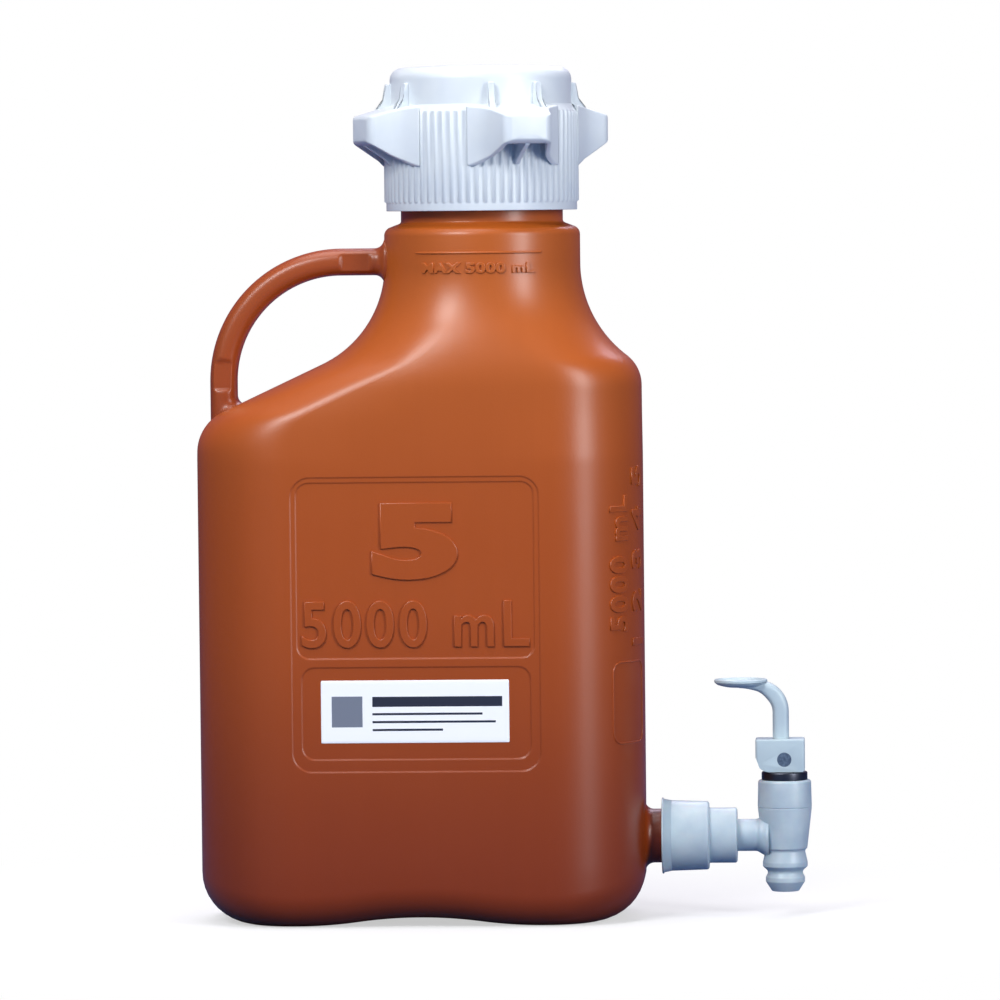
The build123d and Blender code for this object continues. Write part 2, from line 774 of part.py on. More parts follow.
with BuildPart() as lever:
    with BuildSketch(pin_side):
        with BuildLine():
            cam = Spline(
                [cam_point(cam_sweep * k / cam_points) for k in range(cam_points + 1)],
                tangents=[(-1, 0), (-cos(radians(cam_sweep)), sin(radians(cam_sweep)))],
            )
            Polyline(
                cam @ 1,
                (-lever_left, lever_waist),
                (-lever_left, lever_top_above_pin),
                (lever_right, lever_top_above_pin),
                (lever_right, -cam_low + lever_heel),
                (lever_right - lever_heel, -cam_low),
                cam @ 0,
            )
        make_face()
    extrude(amount=lever_wide / 2, both=True)
    foot_rims = lever.edges().filter_by(Axis.Z).group_by(Axis.X)
    fillet(foot_rims[0] + foot_rims[-1], lever_corner)
    fillet(lever.faces().sort_by(Axis.Z)[-1].edges(), lever_edge)
    with BuildSketch(pin_side):
        with BuildLine():
            right = Line((-arm_outer, lever_top_above_pin - lever_edge), (-arm_outer, bend_z))
            over = RadiusArc(right @ 1, (bend_x, paddle_top), -(arm_bend + arm_thick / 2))
            deck = Polyline(over @ 1, (-paddle_centre, paddle_top), (-paddle_centre, paddle_bottom))
            gullet = TangentArc((bend_x, bend_z + arm_bend - arm_thick / 2), deck @ 1, tangent=(-1, 0.5))
            under = RadiusArc(gullet @ 0, (-arm_inner, bend_z), arm_bend - arm_thick / 2)
            Polyline(under @ 1, (-arm_inner, lever_top_above_pin - lever_edge), right @ 0)
        make_face()
    extrude(amount=arm_wide / 2, both=True)
    with BuildSketch(paddle_plane):
        Circle(paddle_radius)
    extrude(amount=paddle_thick)
    with BuildSketch(Plane(origin=(tap_x, 0, pin_z - cam_low - lever_edge))):
        Rectangle(eye_slot_length, stem_eye_thick + 2 * running_gap)
    extrude(amount=cam_low + lever_edge + stem_eye_radius + running_gap, mode=Mode.SUBTRACT)
    with BuildSketch(pin_side):
        Circle(pin_radius)
    extrude(amount=lever_wide, both=True, mode=Mode.SUBTRACT)
lever.part.label = "lever"
export_step(lever.part, "parts/lever.step")

with BuildPart() as lever_pin:
    with BuildSketch(pin_side):
        Circle(pin_radius)
    extrude(amount=lever_wide / 2, both=True)
lever_pin.part.label = "lever_pin"
export_step(lever_pin.part, "parts/lever_pin.step")

# ---------------------------------------------------------------- label
with BuildPart() as label:
    with BuildSketch(front_plane.offset(-2 * panel_step)):
        with Locations((0, panel_bottom + frame_band + lower_window_height / 2)):
            RectangleRounded(label_width, label_height, label_round)
    extrude(amount=label_thick)
label.part.label = "label"
export_step(label.part, "parts/label.step")
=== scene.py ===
"""Dressed scene of a five litre amber carboy with a winged screw cap and a lever spigot.

Every new surface is a numpy array of points: a profile turned about an axis, a section carried along a path, or a
section that changes with height. Sizes and points are in millimetres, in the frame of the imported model, and the
meshes are in metres.
"""

from math import asin, atan2, cos, hypot, pi, radians, sin, sqrt, tan

import bmesh
import bpy
import numpy as np
from mathutils import Matrix, Vector


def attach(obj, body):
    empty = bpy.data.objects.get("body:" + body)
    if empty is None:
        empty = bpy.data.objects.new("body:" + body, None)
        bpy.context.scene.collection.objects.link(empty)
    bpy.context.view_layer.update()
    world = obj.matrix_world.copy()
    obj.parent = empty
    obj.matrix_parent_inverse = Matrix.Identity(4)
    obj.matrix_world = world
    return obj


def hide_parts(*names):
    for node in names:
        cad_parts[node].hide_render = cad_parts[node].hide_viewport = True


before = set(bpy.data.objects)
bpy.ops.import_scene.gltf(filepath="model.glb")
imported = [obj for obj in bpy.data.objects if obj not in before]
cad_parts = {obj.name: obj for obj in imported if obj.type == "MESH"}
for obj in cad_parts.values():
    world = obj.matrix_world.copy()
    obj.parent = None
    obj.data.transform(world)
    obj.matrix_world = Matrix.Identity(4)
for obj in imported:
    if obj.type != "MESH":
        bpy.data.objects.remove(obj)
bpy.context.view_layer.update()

MM = 0.001  # one millimetre in metres

# ------------------------------ sizes of the bottle
HALF_WIDTH, HALF_DEPTH = 102.0, 55.0
CORNER, WALL = 44.0, 2.4
ROUND_FACE, ROUND_SIDE = 15.0, 23.0
ARCH_HALF, ARCH_RISE = 56.0, 3.8
STRAIGHT_TOP, SHOULDER_TOP = 213.0, 301.0
LEFT_RAMP = (25.0, 20.0, 50.0)
RIGHT_RAMP = (37.0, 17.0, 54.0)
FACE_RAMP = (70.0, 80.0, 80.0)
SIDE_BOW = 10.0
NECK_X, COLLAR_R, COLLAR_TOP = 29.4, 45.0, 317.0
WAIST_R, WAIST_BOTTOM, FINISH_BOTTOM = 37.2, 320.0, 332.0
FINISH_R, RIM_TOP, NECK_WALL = 38.4, 386.3, 3.4
PANEL_HALF, PANEL_LOW, PANEL_HIGH, PANEL_ROUND = 56.5, 71.4, 205.4, 9.0
PANEL_STEP, BAND, RAIL, WINDOW_ROUND = 0.5, 4.4, 3.8, 6.0
SIDE_BAND, WINDOW_LOW, WINDOW_TOP = 2.4, 77.0, 119.1
LABEL_X, LABEL_Z, LABEL_WIDE, LABEL_TALL = -0.6, 98.9, 85.5, 28.5
HANDLE_R, HANDLE_TOP, HANDLE_LEFT, HANDLE_THICK, HANDLE_WIDE = 54.5, 302.4, 90.3, 12.4, 20.0
BOSS_Z, BOSS_R, BOSS_END, BOSS_BORE = 37.0, 12.4, 121.0, 8.5
BAND_R, BAND_START = 13.4, 111.5
FILL_Z, FILL_HALF = 306.5, 29.0
THREAD_LOW, THREAD_PITCH, THREAD_TURNS, THREAD_RISE = 345.0, 6.0, 2.0, 2.3

# ------------------------------ sizes of the tap
TAP_X, SEAM_Z, BONNET_TOP, RING_TOP = 166.0, 50.0, 62.5, 66.3
BARREL_R, BARREL_LOW_R, BARREL_LOW_Z = 12.45, 10.2, 31.0
OUTLET_Z, OUTLET_R = 11.2, 5.0
NUT_START, NUT_STEP, NUT_END = 109.5, 131.2, 144.1
NUT_R, NUT_BODY_R, NUT_BORE, HUB_R, HUB_BORE = 17.5, 16.35, 13.65, 12.7, 7.6
TAIL_R, TAIL_BORE, TAIL_START, TAIL_END = 7.35, 4.5, 112.0, 158.5
FLANGE_R, FLANGE_START, FLANGE_END = 12.0, 123.0, 126.5
CHAMBER_R, CHAMBER_LOW, PLUG_LOW, STEM_HOLE = 8.3, 28.0, 43.0, 3.75
FOOT_TOP, PADDLE_TOP, PADDLE_R, PADDLE_X = 81.5, 108.95, 12.2, 19.7
ARM_THICK, ARM_WIDE, ARM_BEND, ARM_SHIFT, ARM_REACH = 7.5, 8.6, 11.3, 1.5, 7.6

# ------------------------------ sizes of the closure
CAP_LOW, CAP_ROOF, CAP_TOP = 325.5, 388.6, 392.3
SKIRT_FACE, SKIRT_BORE, RIBS, RIB_R, RIB_LOW, RIB_HIGH = 43.8, 42.2, 72, 1.15, 329.2, 371.0
DOME_R, DOME_FOOT, DOME_BORE = 41.7, 374.0, 39.4
WINGS, WING_START, WING_ROOT, WING_REACH, TIP_TOP, TIP_LOW = 4, 24.4, 38.5, 59.5, 368.8, 356.4
TIP_ROUND, TIP_CORNER, WING_WALL, WEB_THICK = 1.6, 3.5, 2.2, 2.2
FIN_SPREAD, FIN_THICK, FIN_IN, FIN_OUT, FIN_TOP_OUT, FIN_TOP = 15.0, 3.0, 40.6, 49.3, 44.0, 383.5


# ============================== mesh helpers
def surface(name, points, close_u=True, close_v=False, fan_first=False, fan_last=False):
    """Mesh of a grid of points, rows by columns by three, in millimetres. Columns close into a ring with
    close_u and rows with close_v; a fan to the row's mean point closes the first or last row."""
    rows, columns = points.shape[:2]
    vertices = points.reshape(-1, 3)
    wide = columns if close_u else columns - 1
    tall = rows if close_v else rows - 1
    i, j = np.meshgrid(np.arange(tall), np.arange(wide), indexing="ij")
    below, above = i * columns, ((i + 1) % rows) * columns
    right = (j + 1) % columns
    quads = np.stack([below + j, below + right, above + right, above + j], -1).reshape(-1, 4)
    faces = quads.tolist()
    for wanted, row, flip in ((fan_first, 0, True), (fan_last, rows - 1, False)):
        if wanted:
            ring = row * columns + np.arange(columns)
            centre = len(vertices)
            vertices = np.vstack([vertices, points[row].mean(axis=0)])
            following = np.roll(ring, -1)
            hub = np.full_like(ring, centre)
            tips = np.stack([following, ring, hub] if flip else [ring, following, hub], -1)
            faces += tips.tolist()
    mesh = bpy.data.meshes.new(name)
    mesh.from_pydata((vertices * MM).tolist(), [], faces)
    mesh.validate()
    mesh.polygons.foreach_set("use_smooth", [True] * len(mesh.polygons))
    return linked(name, mesh)


def rounded(corners, steps=6):
    """Outline through (r, z, radius) corners, each turned on an arc of its radius: the arc's centre lies where the
    two neighbouring edges, drawn in by the radius, cross."""
    line = [corners[0][:2]]
    for before, here, after in zip(corners, corners[1:], corners[2:]):
        p, a, b = (np.array(c[:2], float) for c in (here, before, after))
        u, v = (a - p) / np.linalg.norm(a - p), (b - p) / np.linalg.norm(b - p)
        half_turn = np.arccos(np.clip(u @ v, -1, 1)) / 2
        if here[2] <= 0 or half_turn > 0.5 * pi - 0.01:
            line.append(tuple(p))
            continue
        reach = here[2] / np.tan(half_turn)
        centre = p + (u + v) / np.linalg.norm(u + v) * here[2] / np.sin(half_turn)
        start, end = p + u * reach - centre, p + v * reach - centre
        sweep = atan2(start[0] * end[1] - start[1] * end[0], start @ end)
        for t in np.linspace(0, sweep, steps + 1):
            across, along = start[0] * cos(t) - start[1] * sin(t), start[0] * sin(t) + start[1] * cos(t)
            line.append((centre[0] + across, centre[1] + along))
    line.append(corners[-1][:2])
    return np.array(line)


def turned(name, outline, centre, axis="Z", around=96, ring=False, closed_ends=False):
    """An outline of (radius, height) points turned about an axis: x = r cos t, y = r sin t. The axis is Z through
    centre, or X where the heights run along +X. A ring's outline joins its last point to its first."""
    t = circle(around)
    r, h = outline[:, 0][:, None], outline[:, 1][:, None]
    flat = np.ones_like(t)[None, :]
    if axis == "Z":
        points = np.stack([centre[0] + r * np.cos(t), centre[1] + r * np.sin(t), centre[2] + h * flat], -1)
    else:
        points = np.stack([centre[0] + h * flat, centre[1] + r * np.cos(t), centre[2] + r * np.sin(t)], -1)
    return surface(name, points, close_v=ring, fan_first=closed_ends, fan_last=closed_ends)


def dress(piece, made):
    """Gives every slot of a piece one material."""
    if piece.data.materials:
        for index in range(len(piece.data.materials)):
            piece.data.materials[index] = made
    else:
        piece.data.materials.append(made)
    return piece


def put(piece, made, body, slot, *replaced):
    """Gives a finished piece its material, rides it on its body and hides the solids that it
    stands for. The slot is not used."""
    dress(piece, made)
    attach(piece, body)
    if replaced:
        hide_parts(*replaced)


def smooth_step(x, low, high):
    """0 below low, 1 above high, and 3t^2 - 2t^3 between."""
    t = np.clip((x - low) / (high - low), 0, 1)
    return t * t * (3 - 2 * t)


def circle(count):
    """Angles of evenly spaced points round a circle."""
    return np.linspace(0, 2 * pi, count, endpoint=False)


def lengths(path):
    """Length along a path of points in a plane, at each point."""
    return np.concatenate([[0.0], np.cumsum(np.hypot(*np.diff(path, axis=0).T))])


def squared_ring(count, power):
    """Width and thickness shares round a squared oval: |cos t| and |sin t| to a power of 2 over this one."""
    t = circle(count)
    return [np.sign(wave) * np.abs(wave) ** (2 / power) for wave in (np.cos(t), np.sin(t))]


def linked(name, mesh):
    """A new object for a mesh, in the scene."""
    piece = bpy.data.objects.new(name, mesh)
    bpy.context.scene.collection.objects.link(piece)
    return piece


# ============================== bottle
def graded(marks, ends, fine, coarse, near):
    """Positions between two ends, in fine steps close to the marks and coarser ones away from them."""
    here, out = ends[0], [ends[0]]
    while here < ends[1] - fine:
        away = min(abs(here + fine - m) for m in marks)
        here += fine + (coarse - fine) * smooth_step(away, near, 4 * near)
        out.append(min(here, ends[1]))
    return np.array(out)


PANEL_MARKS_X = tuple(side * (PANEL_HALF - inset) for side in (-1, 1) for inset in (0, SIDE_BAND, BAND))
PANEL_MARKS_Z = (PANEL_LOW, WINDOW_LOW, WINDOW_TOP, WINDOW_TOP + RAIL, PANEL_HIGH - SIDE_BAND, PANEL_HIGH)
FINE, COARSE, NEAR, FRONT_HALF = 0.3, 2.6, 2.0, 58.0
FRONT_SHARES = graded(PANEL_MARKS_X, (-FRONT_HALF, FRONT_HALF), FINE, COARSE, NEAR)[:-1] / FRONT_HALF
BACK_SHARES = np.linspace(-1, 1, 24, endpoint=False)
SIDE_SHARES = np.linspace(-1, 1, 14, endpoint=False)
TURN = 22


def wall_run(z, run, ramp, inset=0.0):
    """Inward run of a wall at heights z: vertical, a convex arc, a ramp, a concave arc, vertical again."""
    slope, convex, concave = radians(ramp[0]), ramp[1], ramp[2]
    lean, rise = 1 - sin(slope), cos(slope)
    ramp_long = (run - (convex + concave) * lean) / cos(slope)
    total = (convex + concave) * rise + ramp_long * sin(slope)
    below = np.maximum(SHOULDER_TOP - z, 0)
    above = np.maximum(total - below, 0)
    near_top = run - concave + np.sqrt(np.maximum(concave**2 - below**2, 0))
    near_foot = convex - np.sqrt(np.maximum(convex**2 - above**2, 0))
    middle = run - concave * lean - (below - concave * rise) / tan(slope)
    out = np.where(below < concave * rise, near_top, np.where(above < convex * rise, near_foot, middle))
    return np.where(total - below <= 0, 0.0, out)


def arch(x):
    """Height of the base's arch: two equal arcs up to the crown, which meet half way with one slope."""
    reach = np.abs(x)
    radius = ((ARCH_HALF / 2) ** 2 + (ARCH_RISE / 2) ** 2) / ARCH_RISE
    foot = radius - np.sqrt(np.maximum(radius**2 - np.maximum(ARCH_HALF - reach, 0) ** 2, 0))
    crown = ARCH_RISE - radius + np.sqrt(np.maximum(radius**2 - reach**2, 0))
    return np.where(reach < ARCH_HALF / 2, crown, np.where(reach < ARCH_HALF, foot, 0.0))


def section(z, inset=0.0):
    """Rings of the body's sections at heights z: four corner arcs and four bowed sides, each tangent to the next.
    A side's bulge falls off as 1 - s^2 from its middle. Returns x and y, one row for each height, from the front's
    left end anticlockwise seen from above."""
    z = np.atleast_1d(np.asarray(z, float))[:, None]
    share = np.clip((z - STRAIGHT_TOP) / (SHOULDER_TOP - STRAIGHT_TOP), 0, 1)
    left = -HALF_WIDTH + wall_run(z, NECK_X - COLLAR_R + HALF_WIDTH, LEFT_RAMP)
    right = HALF_WIDTH - wall_run(z, HALF_WIDTH - NECK_X - COLLAR_R, RIGHT_RAMP)
    deep = HALF_DEPTH - wall_run(z, HALF_DEPTH - COLLAR_R, FACE_RAMP)
    corner = CORNER + (COLLAR_R - CORNER) * share
    bow = np.radians(SIDE_BOW) * share
    lever = np.tan(bow / 2)
    reach_x, reach_y = (right - left) / 2 - corner, deep - corner
    across = (reach_x - lever * reach_y) / (1 - lever**2)
    along = (reach_y - lever * reach_x) / (1 - lever**2)
    middle, radius = (left + right) / 2, corner - inset
    xs, ys = [], []
    end_long = across + radius * np.sin(bow)
    end_deep = along + radius * np.cos(bow)
    end_wide = across + radius * np.cos(bow)
    end_tall = along + radius * np.sin(bow)
    sides = [
        (0, FRONT_SHARES, end_long, deep - inset - end_deep, (1, 0), (0, -1), end_deep),
        (1, SIDE_SHARES, end_tall, (right - left) / 2 - inset - end_wide, (0, 1), (1, 0), end_wide),
        (2, BACK_SHARES, end_long, deep - inset - end_deep, (-1, 0), (0, 1), end_deep),
        (3, SIDE_SHARES, end_tall, (right - left) / 2 - inset - end_wide, (0, -1), (-1, 0), end_wide),
    ]
    corners = [(1, -1), (1, 1), (-1, 1), (-1, -1)]
    angle = bow + (pi / 2 - 2 * bow) * np.linspace(0, 1, TURN, endpoint=False)[None, :]
    for index, shares, half_long, bulge, run_way, out_way, out_at in sides:
        s, out = shares[None, :] * half_long, out_at + bulge * (1 - shares[None, :] ** 2)
        xs.append(middle + s * run_way[0] + out * out_way[0])
        ys.append(s * run_way[1] + out * out_way[1])
        (sx, sy), (first, second) = corners[index], (np.sin, np.cos) if index % 2 == 0 else (np.cos, np.sin)
        xs.append(middle + sx * (across + radius * first(angle)))
        ys.append(sy * (along + radius * second(angle)))
    return np.hstack(xs), np.hstack(ys)


def box_field(x, z, low_x, high_x, low_z, high_z, radius):
    """Signed distance to a rounded rectangle, negative inside."""
    qx = np.abs(x - (low_x + high_x) / 2) - (high_x - low_x) / 2 + radius
    qz = np.abs(z - (low_z + high_z) / 2) - (high_z - low_z) / 2 + radius
    return np.hypot(np.maximum(qx, 0), np.maximum(qz, 0)) + np.minimum(np.maximum(qx, qz), 0) - radius


def panel_depth(x, z):
    """How far the front is pressed in at (x, z): a framed field and two windows in it."""
    soft = 0.35
    frame_in = box_field(x, z, -PANEL_HALF, PANEL_HALF, PANEL_LOW, PANEL_HIGH, PANEL_ROUND)
    lower = box_field(x, z, -PANEL_HALF + BAND, PANEL_HALF - BAND, WINDOW_LOW, WINDOW_TOP, WINDOW_ROUND)
    side = PANEL_HALF - SIDE_BAND
    upper = box_field(x, z, -side, side, WINDOW_TOP + RAIL, PANEL_HIGH - SIDE_BAND, WINDOW_ROUND)
    depth = PANEL_STEP * (1 - smooth_step(frame_in, -soft, soft * 0.4))
    depth += PANEL_STEP * (1 - smooth_step(np.minimum(lower, upper), -soft, soft * 0.4))
    return depth


def bottle_rows():
    """Rows of the shell: the arched base from its middle out, round the base's edge (whose radius grows from the
    faces to the sides), up the walls and the shoulder, over the collar and neck, and down inside behind the rim."""
    ring = np.stack(section([0.0]), -1)[0]
    inward = np.stack(section([0.0], 1.0), -1)[0] - ring
    edge = ROUND_FACE + (ROUND_SIDE - ROUND_FACE) * inward[:, :1] ** 2
    rows = []

    def lay(flat, height):
        rows.append(np.column_stack([flat, np.broadcast_to(height, len(flat))]))

    start = ring + inward * edge
    for share in np.linspace(0.05, 0.95, 10):
        lay(start * share, arch(start[:, 0] * share))
    for t in np.linspace(0, pi / 2, 11):
        flat = ring + inward * edge * (1 - sin(t))
        lay(flat, arch(flat[:, 0]) + edge[:, 0] * (1 - cos(t)))
    foot = arch(ring[:, 0]) + edge[:, 0]
    margin = 4
    for share in (0.25, 0.5, 0.75):
        lay(ring, foot + (PANEL_LOW - margin - foot) * share)
    front = ring[:, 1] < -HALF_DEPTH + 0.01
    for z in graded(PANEL_MARKS_Z, (PANEL_LOW - margin, PANEL_HIGH + margin), FINE, COARSE, NEAR):
        pressed = ring[:, 1] + np.where(front, panel_depth(ring[:, 0], z), 0.0)
        lay(np.column_stack([ring[:, 0], pressed]), z)
    heights = np.linspace(STRAIGHT_TOP, SHOULDER_TOP, 50)
    for z, x, y in zip(heights, *section(heights)):
        lay(np.column_stack([x, y]), z)
    angle = np.arctan2(y, x - NECK_X)
    corners = [
        (COLLAR_R, SHOULDER_TOP, 0), (COLLAR_R, COLLAR_TOP, 4.0), (WAIST_R, WAIST_BOTTOM, 1.4),
        (WAIST_R, FINISH_BOTTOM, 0.5), (FINISH_R, FINISH_BOTTOM, 0.5), (FINISH_R, RIM_TOP, 0.8),
        (FINISH_R - NECK_WALL, RIM_TOP, 0.8), (FINISH_R - NECK_WALL, WAIST_BOTTOM, 3.0),
        (COLLAR_R - WALL, COLLAR_TOP - WALL, 2.0), (COLLAR_R - WALL, SHOULDER_TOP, 0),
    ]
    neck = rounded(corners)
    for r, z in neck[1:]:
        lay(np.column_stack([NECK_X + r * np.cos(angle), r * np.sin(angle)]), z)
    return np.stack(rows)


def shoulder_height(x):
    """Height of the left shoulder's crest at x, found on its profile."""
    z = np.linspace(STRAIGHT_TOP, SHOULDER_TOP, 600)
    left = -HALF_WIDTH + wall_run(z, NECK_X - COLLAR_R + HALF_WIDTH, LEFT_RAMP)
    return np.interp(x, left, z)


def flare(distance, reach):
    """Growth of a root that widens on an arc of this reach as it nears a wall."""
    short = np.clip(reach - distance, 0, reach)
    return reach - np.sqrt(reach**2 - short**2)


def handle():
    """The loop: a flattened round bar carried along a level run, a quarter arc and an upright. It widens into the
    collar, and on its inner side into the shoulder, and a flat pad is pressed into each face near both ends."""
    start, bend = NECK_X - COLLAR_R + 8.0, HANDLE_R - HANDLE_LEFT
    centre_z = HANDLE_TOP - HANDLE_R
    level = np.linspace(start, bend, 34)[:-1]
    arc = np.linspace(0, pi / 2, 90)
    upright = np.linspace(centre_z, STRAIGHT_TOP + 2, 44)[1:]
    path = np.concatenate(
        [
            np.column_stack([level, np.full_like(level, HANDLE_TOP)]),
            np.column_stack([bend - HANDLE_R * np.sin(arc), centre_z + HANDLE_R * np.cos(arc)]),
            np.column_stack([np.full_like(upright, -HANDLE_LEFT), upright]),
        ]
    )
    out = np.concatenate(
        [
            np.tile([0.0, 1.0], (len(level), 1)),
            np.column_stack([-np.sin(arc), np.cos(arc)]),
            np.tile([-1.0, 0.0], (len(upright), 1)),
        ]
    )
    wide, thick = squared_ring(96, 2.7)
    root = 4.5
    near_collar = flare(NECK_X - COLLAR_R - path[:, 0], root)
    rim = path[:, :1] + out[:, :1] * thick * HANDLE_THICK / 2
    near_shoulder = flare(path[:, 1:] + out[:, 1:] * thick * HANDLE_THICK / 2 - shoulder_height(rim), root)
    late = (np.arange(len(path)) > len(level) + 40)[:, None]
    inner = 1 - smooth_step(thick, -0.5, 0.3)
    grow = near_collar[:, None] + np.where(late, near_shoulder * inner, 0.0)
    half_thick, half_wide = HANDLE_THICK / 2 + grow, HANDLE_WIDE / 2 + grow * 0.6
    x = path[:, :1] + out[:, :1] * thick * half_thick
    z = path[:, 1:] + out[:, 1:] * thick * half_thick
    y = wide * half_wide
    pad_half, pad_round, pad_face, pad_z = 4.7, 2.0, 8.8, 251.0
    pad_near, pad_far = NECK_X - COLLAR_R - 6.0, NECK_X - COLLAR_R - 19.5
    first = box_field(x, z, pad_far, pad_near, HANDLE_TOP - pad_half, HANDLE_TOP + pad_half, pad_round)
    second = box_field(x, z, -HANDLE_LEFT - pad_half, -HANDLE_LEFT + pad_half, pad_z - 6.75, pad_z + 6.75, pad_round)
    pad = 1 - smooth_step(np.minimum(first, second), -0.5, 0.5)
    y = y + (np.clip(y, -pad_face, pad_face) - y) * pad
    return surface("handle_loop", np.stack([x, y, z], -1), fan_first=True, fan_last=True)


def collar_bar():
    """Raised line round the front of the collar: a small rounded bar carried along an arc, with tapered ends."""
    reach = asin(FILL_HALF / COLLAR_R)
    along = np.linspace(-reach, reach, 90)
    t = circle(10)
    end = np.sqrt(np.clip(1 - (np.abs(along) / reach) ** 24, 0.0, 1))[:, None]
    r = COLLAR_R + 0.55 * np.cos(t) * end
    z = FILL_Z + 0.6 * np.sin(t) * end
    points = np.stack([NECK_X + r * np.sin(along)[:, None], -r * np.cos(along)[:, None], z], -1)
    return surface("fill_bar", points)


def neck_thread():
    """Screw thread on the finish: a rounded ridge that rises one pitch a turn and fades at both ends."""
    a = np.linspace(0, 2 * pi * THREAD_TURNS, 260)
    fade = smooth_step(a, 0, 0.5) * (1 - smooth_step(a, a[-1] - 0.5, a[-1]))
    t = np.linspace(-1, 1, 9)
    crest = (1 - np.abs(t) ** 3)[None, :] * fade[:, None] * THREAD_RISE
    r = FINISH_R - 0.3 + crest
    z = THREAD_LOW + (a / (2 * pi) * THREAD_PITCH)[:, None] + t[None, :] * 1.7
    points = np.stack([NECK_X + r * np.cos(a)[:, None], r * np.sin(a)[:, None], z], -1)
    return surface("neck_thread", points, close_u=False)


def boss():
    """Outlet boss: a spout along +X that widens into the wall, with a thicker end band and an open bore."""
    corners = [
        (19.0, 99.6, 0), (17.6, 101.3, 1.0), (BOSS_R, 102.6, 4.2), (BOSS_R, BAND_START, 0.3),
        (BAND_R, BAND_START, 0.3), (BAND_R, BOSS_END, 0.5), (BOSS_BORE, BOSS_END, 0.5),
        (BOSS_BORE, 98.0, 0),
    ]
    return turned("outlet_boss", rounded(corners), (0, 0, BOSS_Z), axis="X")


def figures(text, wide, tall, raised, bold, edge, space=1.0):
    """Mesh and points of plain figures of a stated width and height, centred, with rounded edges. A figure's height
    is 0.73 of its type size."""
    curve = bpy.data.curves.new("outline", "FONT")
    curve.body, curve.size, curve.offset, curve.resolution_u = text, 1.0, bold, 8
    curve.align_x, curve.align_y, curve.space_character = "CENTER", "CENTER", space
    flat = linked("outline", curve)
    scale = tall / 0.73
    curve.extrude, curve.bevel_depth, curve.bevel_resolution = (raised - edge) / scale, edge / scale, 3
    mesh = bpy.data.meshes.new_from_object(flat.evaluated_get(bpy.context.evaluated_depsgraph_get()))
    bpy.data.objects.remove(flat)
    points = np.empty(len(mesh.vertices) * 3)
    mesh.vertices.foreach_get("co", points)
    points = points.reshape(-1, 3)
    low, high = points.min(axis=0), points.max(axis=0)
    spread = np.array([wide / (high[0] - low[0]), tall / (high[1] - low[1]), scale])
    return mesh, (points - [(low[0] + high[0]) / 2, (low[1] + high[1]) / 2, 0]) * spread


def set_figures(name, mesh, points):
    """Writes figures' points back, in metres, and links the piece."""
    mesh.vertices.foreach_set("co", (points * MM).ravel())
    mesh.update()
    return linked(name, mesh)


def panel_figures(name, text, wide, tall, centre_z, bold, space=1.0):
    """Figures raised on a window of the front panel."""
    mesh, flat = figures(text, wide, tall, 0.97, bold, 0.4, space)
    y = -(HALF_DEPTH - 2 * PANEL_STEP) - flat[:, 2]
    return set_figures(name, mesh, np.stack([flat[:, 0], y, centre_z + flat[:, 1]], -1))


def collar_figures(name, text, wide, tall, centre_z):
    """Small figures wrapped on the collar's front: x turns into an angle about the neck's axis."""
    mesh, flat = figures(text, wide, tall, 0.8, 0.02, 0.3, 1.12)
    turn, r = flat[:, 0] / COLLAR_R, COLLAR_R + flat[:, 2]
    points = np.stack([NECK_X + r * np.sin(turn), -r * np.cos(turn), centre_z + flat[:, 1]], -1)
    return set_figures(name, mesh, points)


def wall_line():
    """The upright wall's outline from the front's middle round the right side: arc length, x, y and outward way."""
    x, y = (line[0] for line in section([PANEL_HIGH]))
    start = int(np.argmin(np.abs(x[: len(FRONT_SHARES)])))
    x, y = x[start : start + 90], y[start : start + 90]
    way = np.stack([np.gradient(x), np.gradient(y)], -1)
    way /= np.linalg.norm(way, axis=1, keepdims=True)
    return lengths(np.column_stack([x, y])) + x[0], x, y, way[:, 1], -way[:, 0]


def on_wall(run, out, z):
    """Points at an arc length round the wall from the front's middle, this far out of it, at heights z."""
    line, x, y, out_x, out_y = wall_line()
    at = [np.interp(run, line, values) for values in (x, y, out_x, out_y)]
    return np.stack([at[0] + out * at[2], at[1] + out * at[3], z + 0 * run], -1)


def side_figures(name, text, long, tall, run, centre_z):
    """Figures that read upwards on the right front corner and follow its round: their width runs along z and their
    height round the wall."""
    mesh, flat = figures(text, long, tall, 0.7, 0.02, 0.3, 1.15)
    return set_figures(name, mesh, on_wall(run - flat[:, 1], flat[:, 2], centre_z + flat[:, 0]))


def side_frame(name, low_run, high_run, low_z, high_z):
    """Raised line round a rounded field on the right front corner: a small bead carried along its outline."""
    corner, reach = 5.0, 0.45
    line = []
    turns = ((high_run, high_z, 0), (low_run, high_z, 90), (low_run, low_z, 180), (high_run, low_z, 270))
    for cx, cz, start in turns:
        turn = np.radians(np.linspace(start, start + 90, 9))
        inward = np.sign([(low_run + high_run) / 2 - cx, (low_z + high_z) / 2 - cz])
        around = cx + inward[0] * corner + corner * np.cos(turn)
        line.append(np.column_stack([around, cz + inward[1] * corner + corner * np.sin(turn)]))
    corners = np.vstack(line)
    closed = np.vstack([corners, corners[:1]])
    steps = lengths(closed)
    at = np.linspace(0, steps[-1], 150, endpoint=False)
    path = np.column_stack([np.interp(at, steps, closed[:, k]) for k in (0, 1)])
    way = np.roll(path, -1, axis=0) - np.roll(path, 1, axis=0)
    way /= np.linalg.norm(way, axis=1, keepdims=True)
    t = circle(10)
    run = path[:, :1] + way[:, 1:] * reach * np.cos(t)
    z = path[:, 1:] - way[:, :1] * reach * np.cos(t)
    return surface(name, on_wall(run, reach * np.sin(t)[None, :] + 0 * run, z), close_v=True)


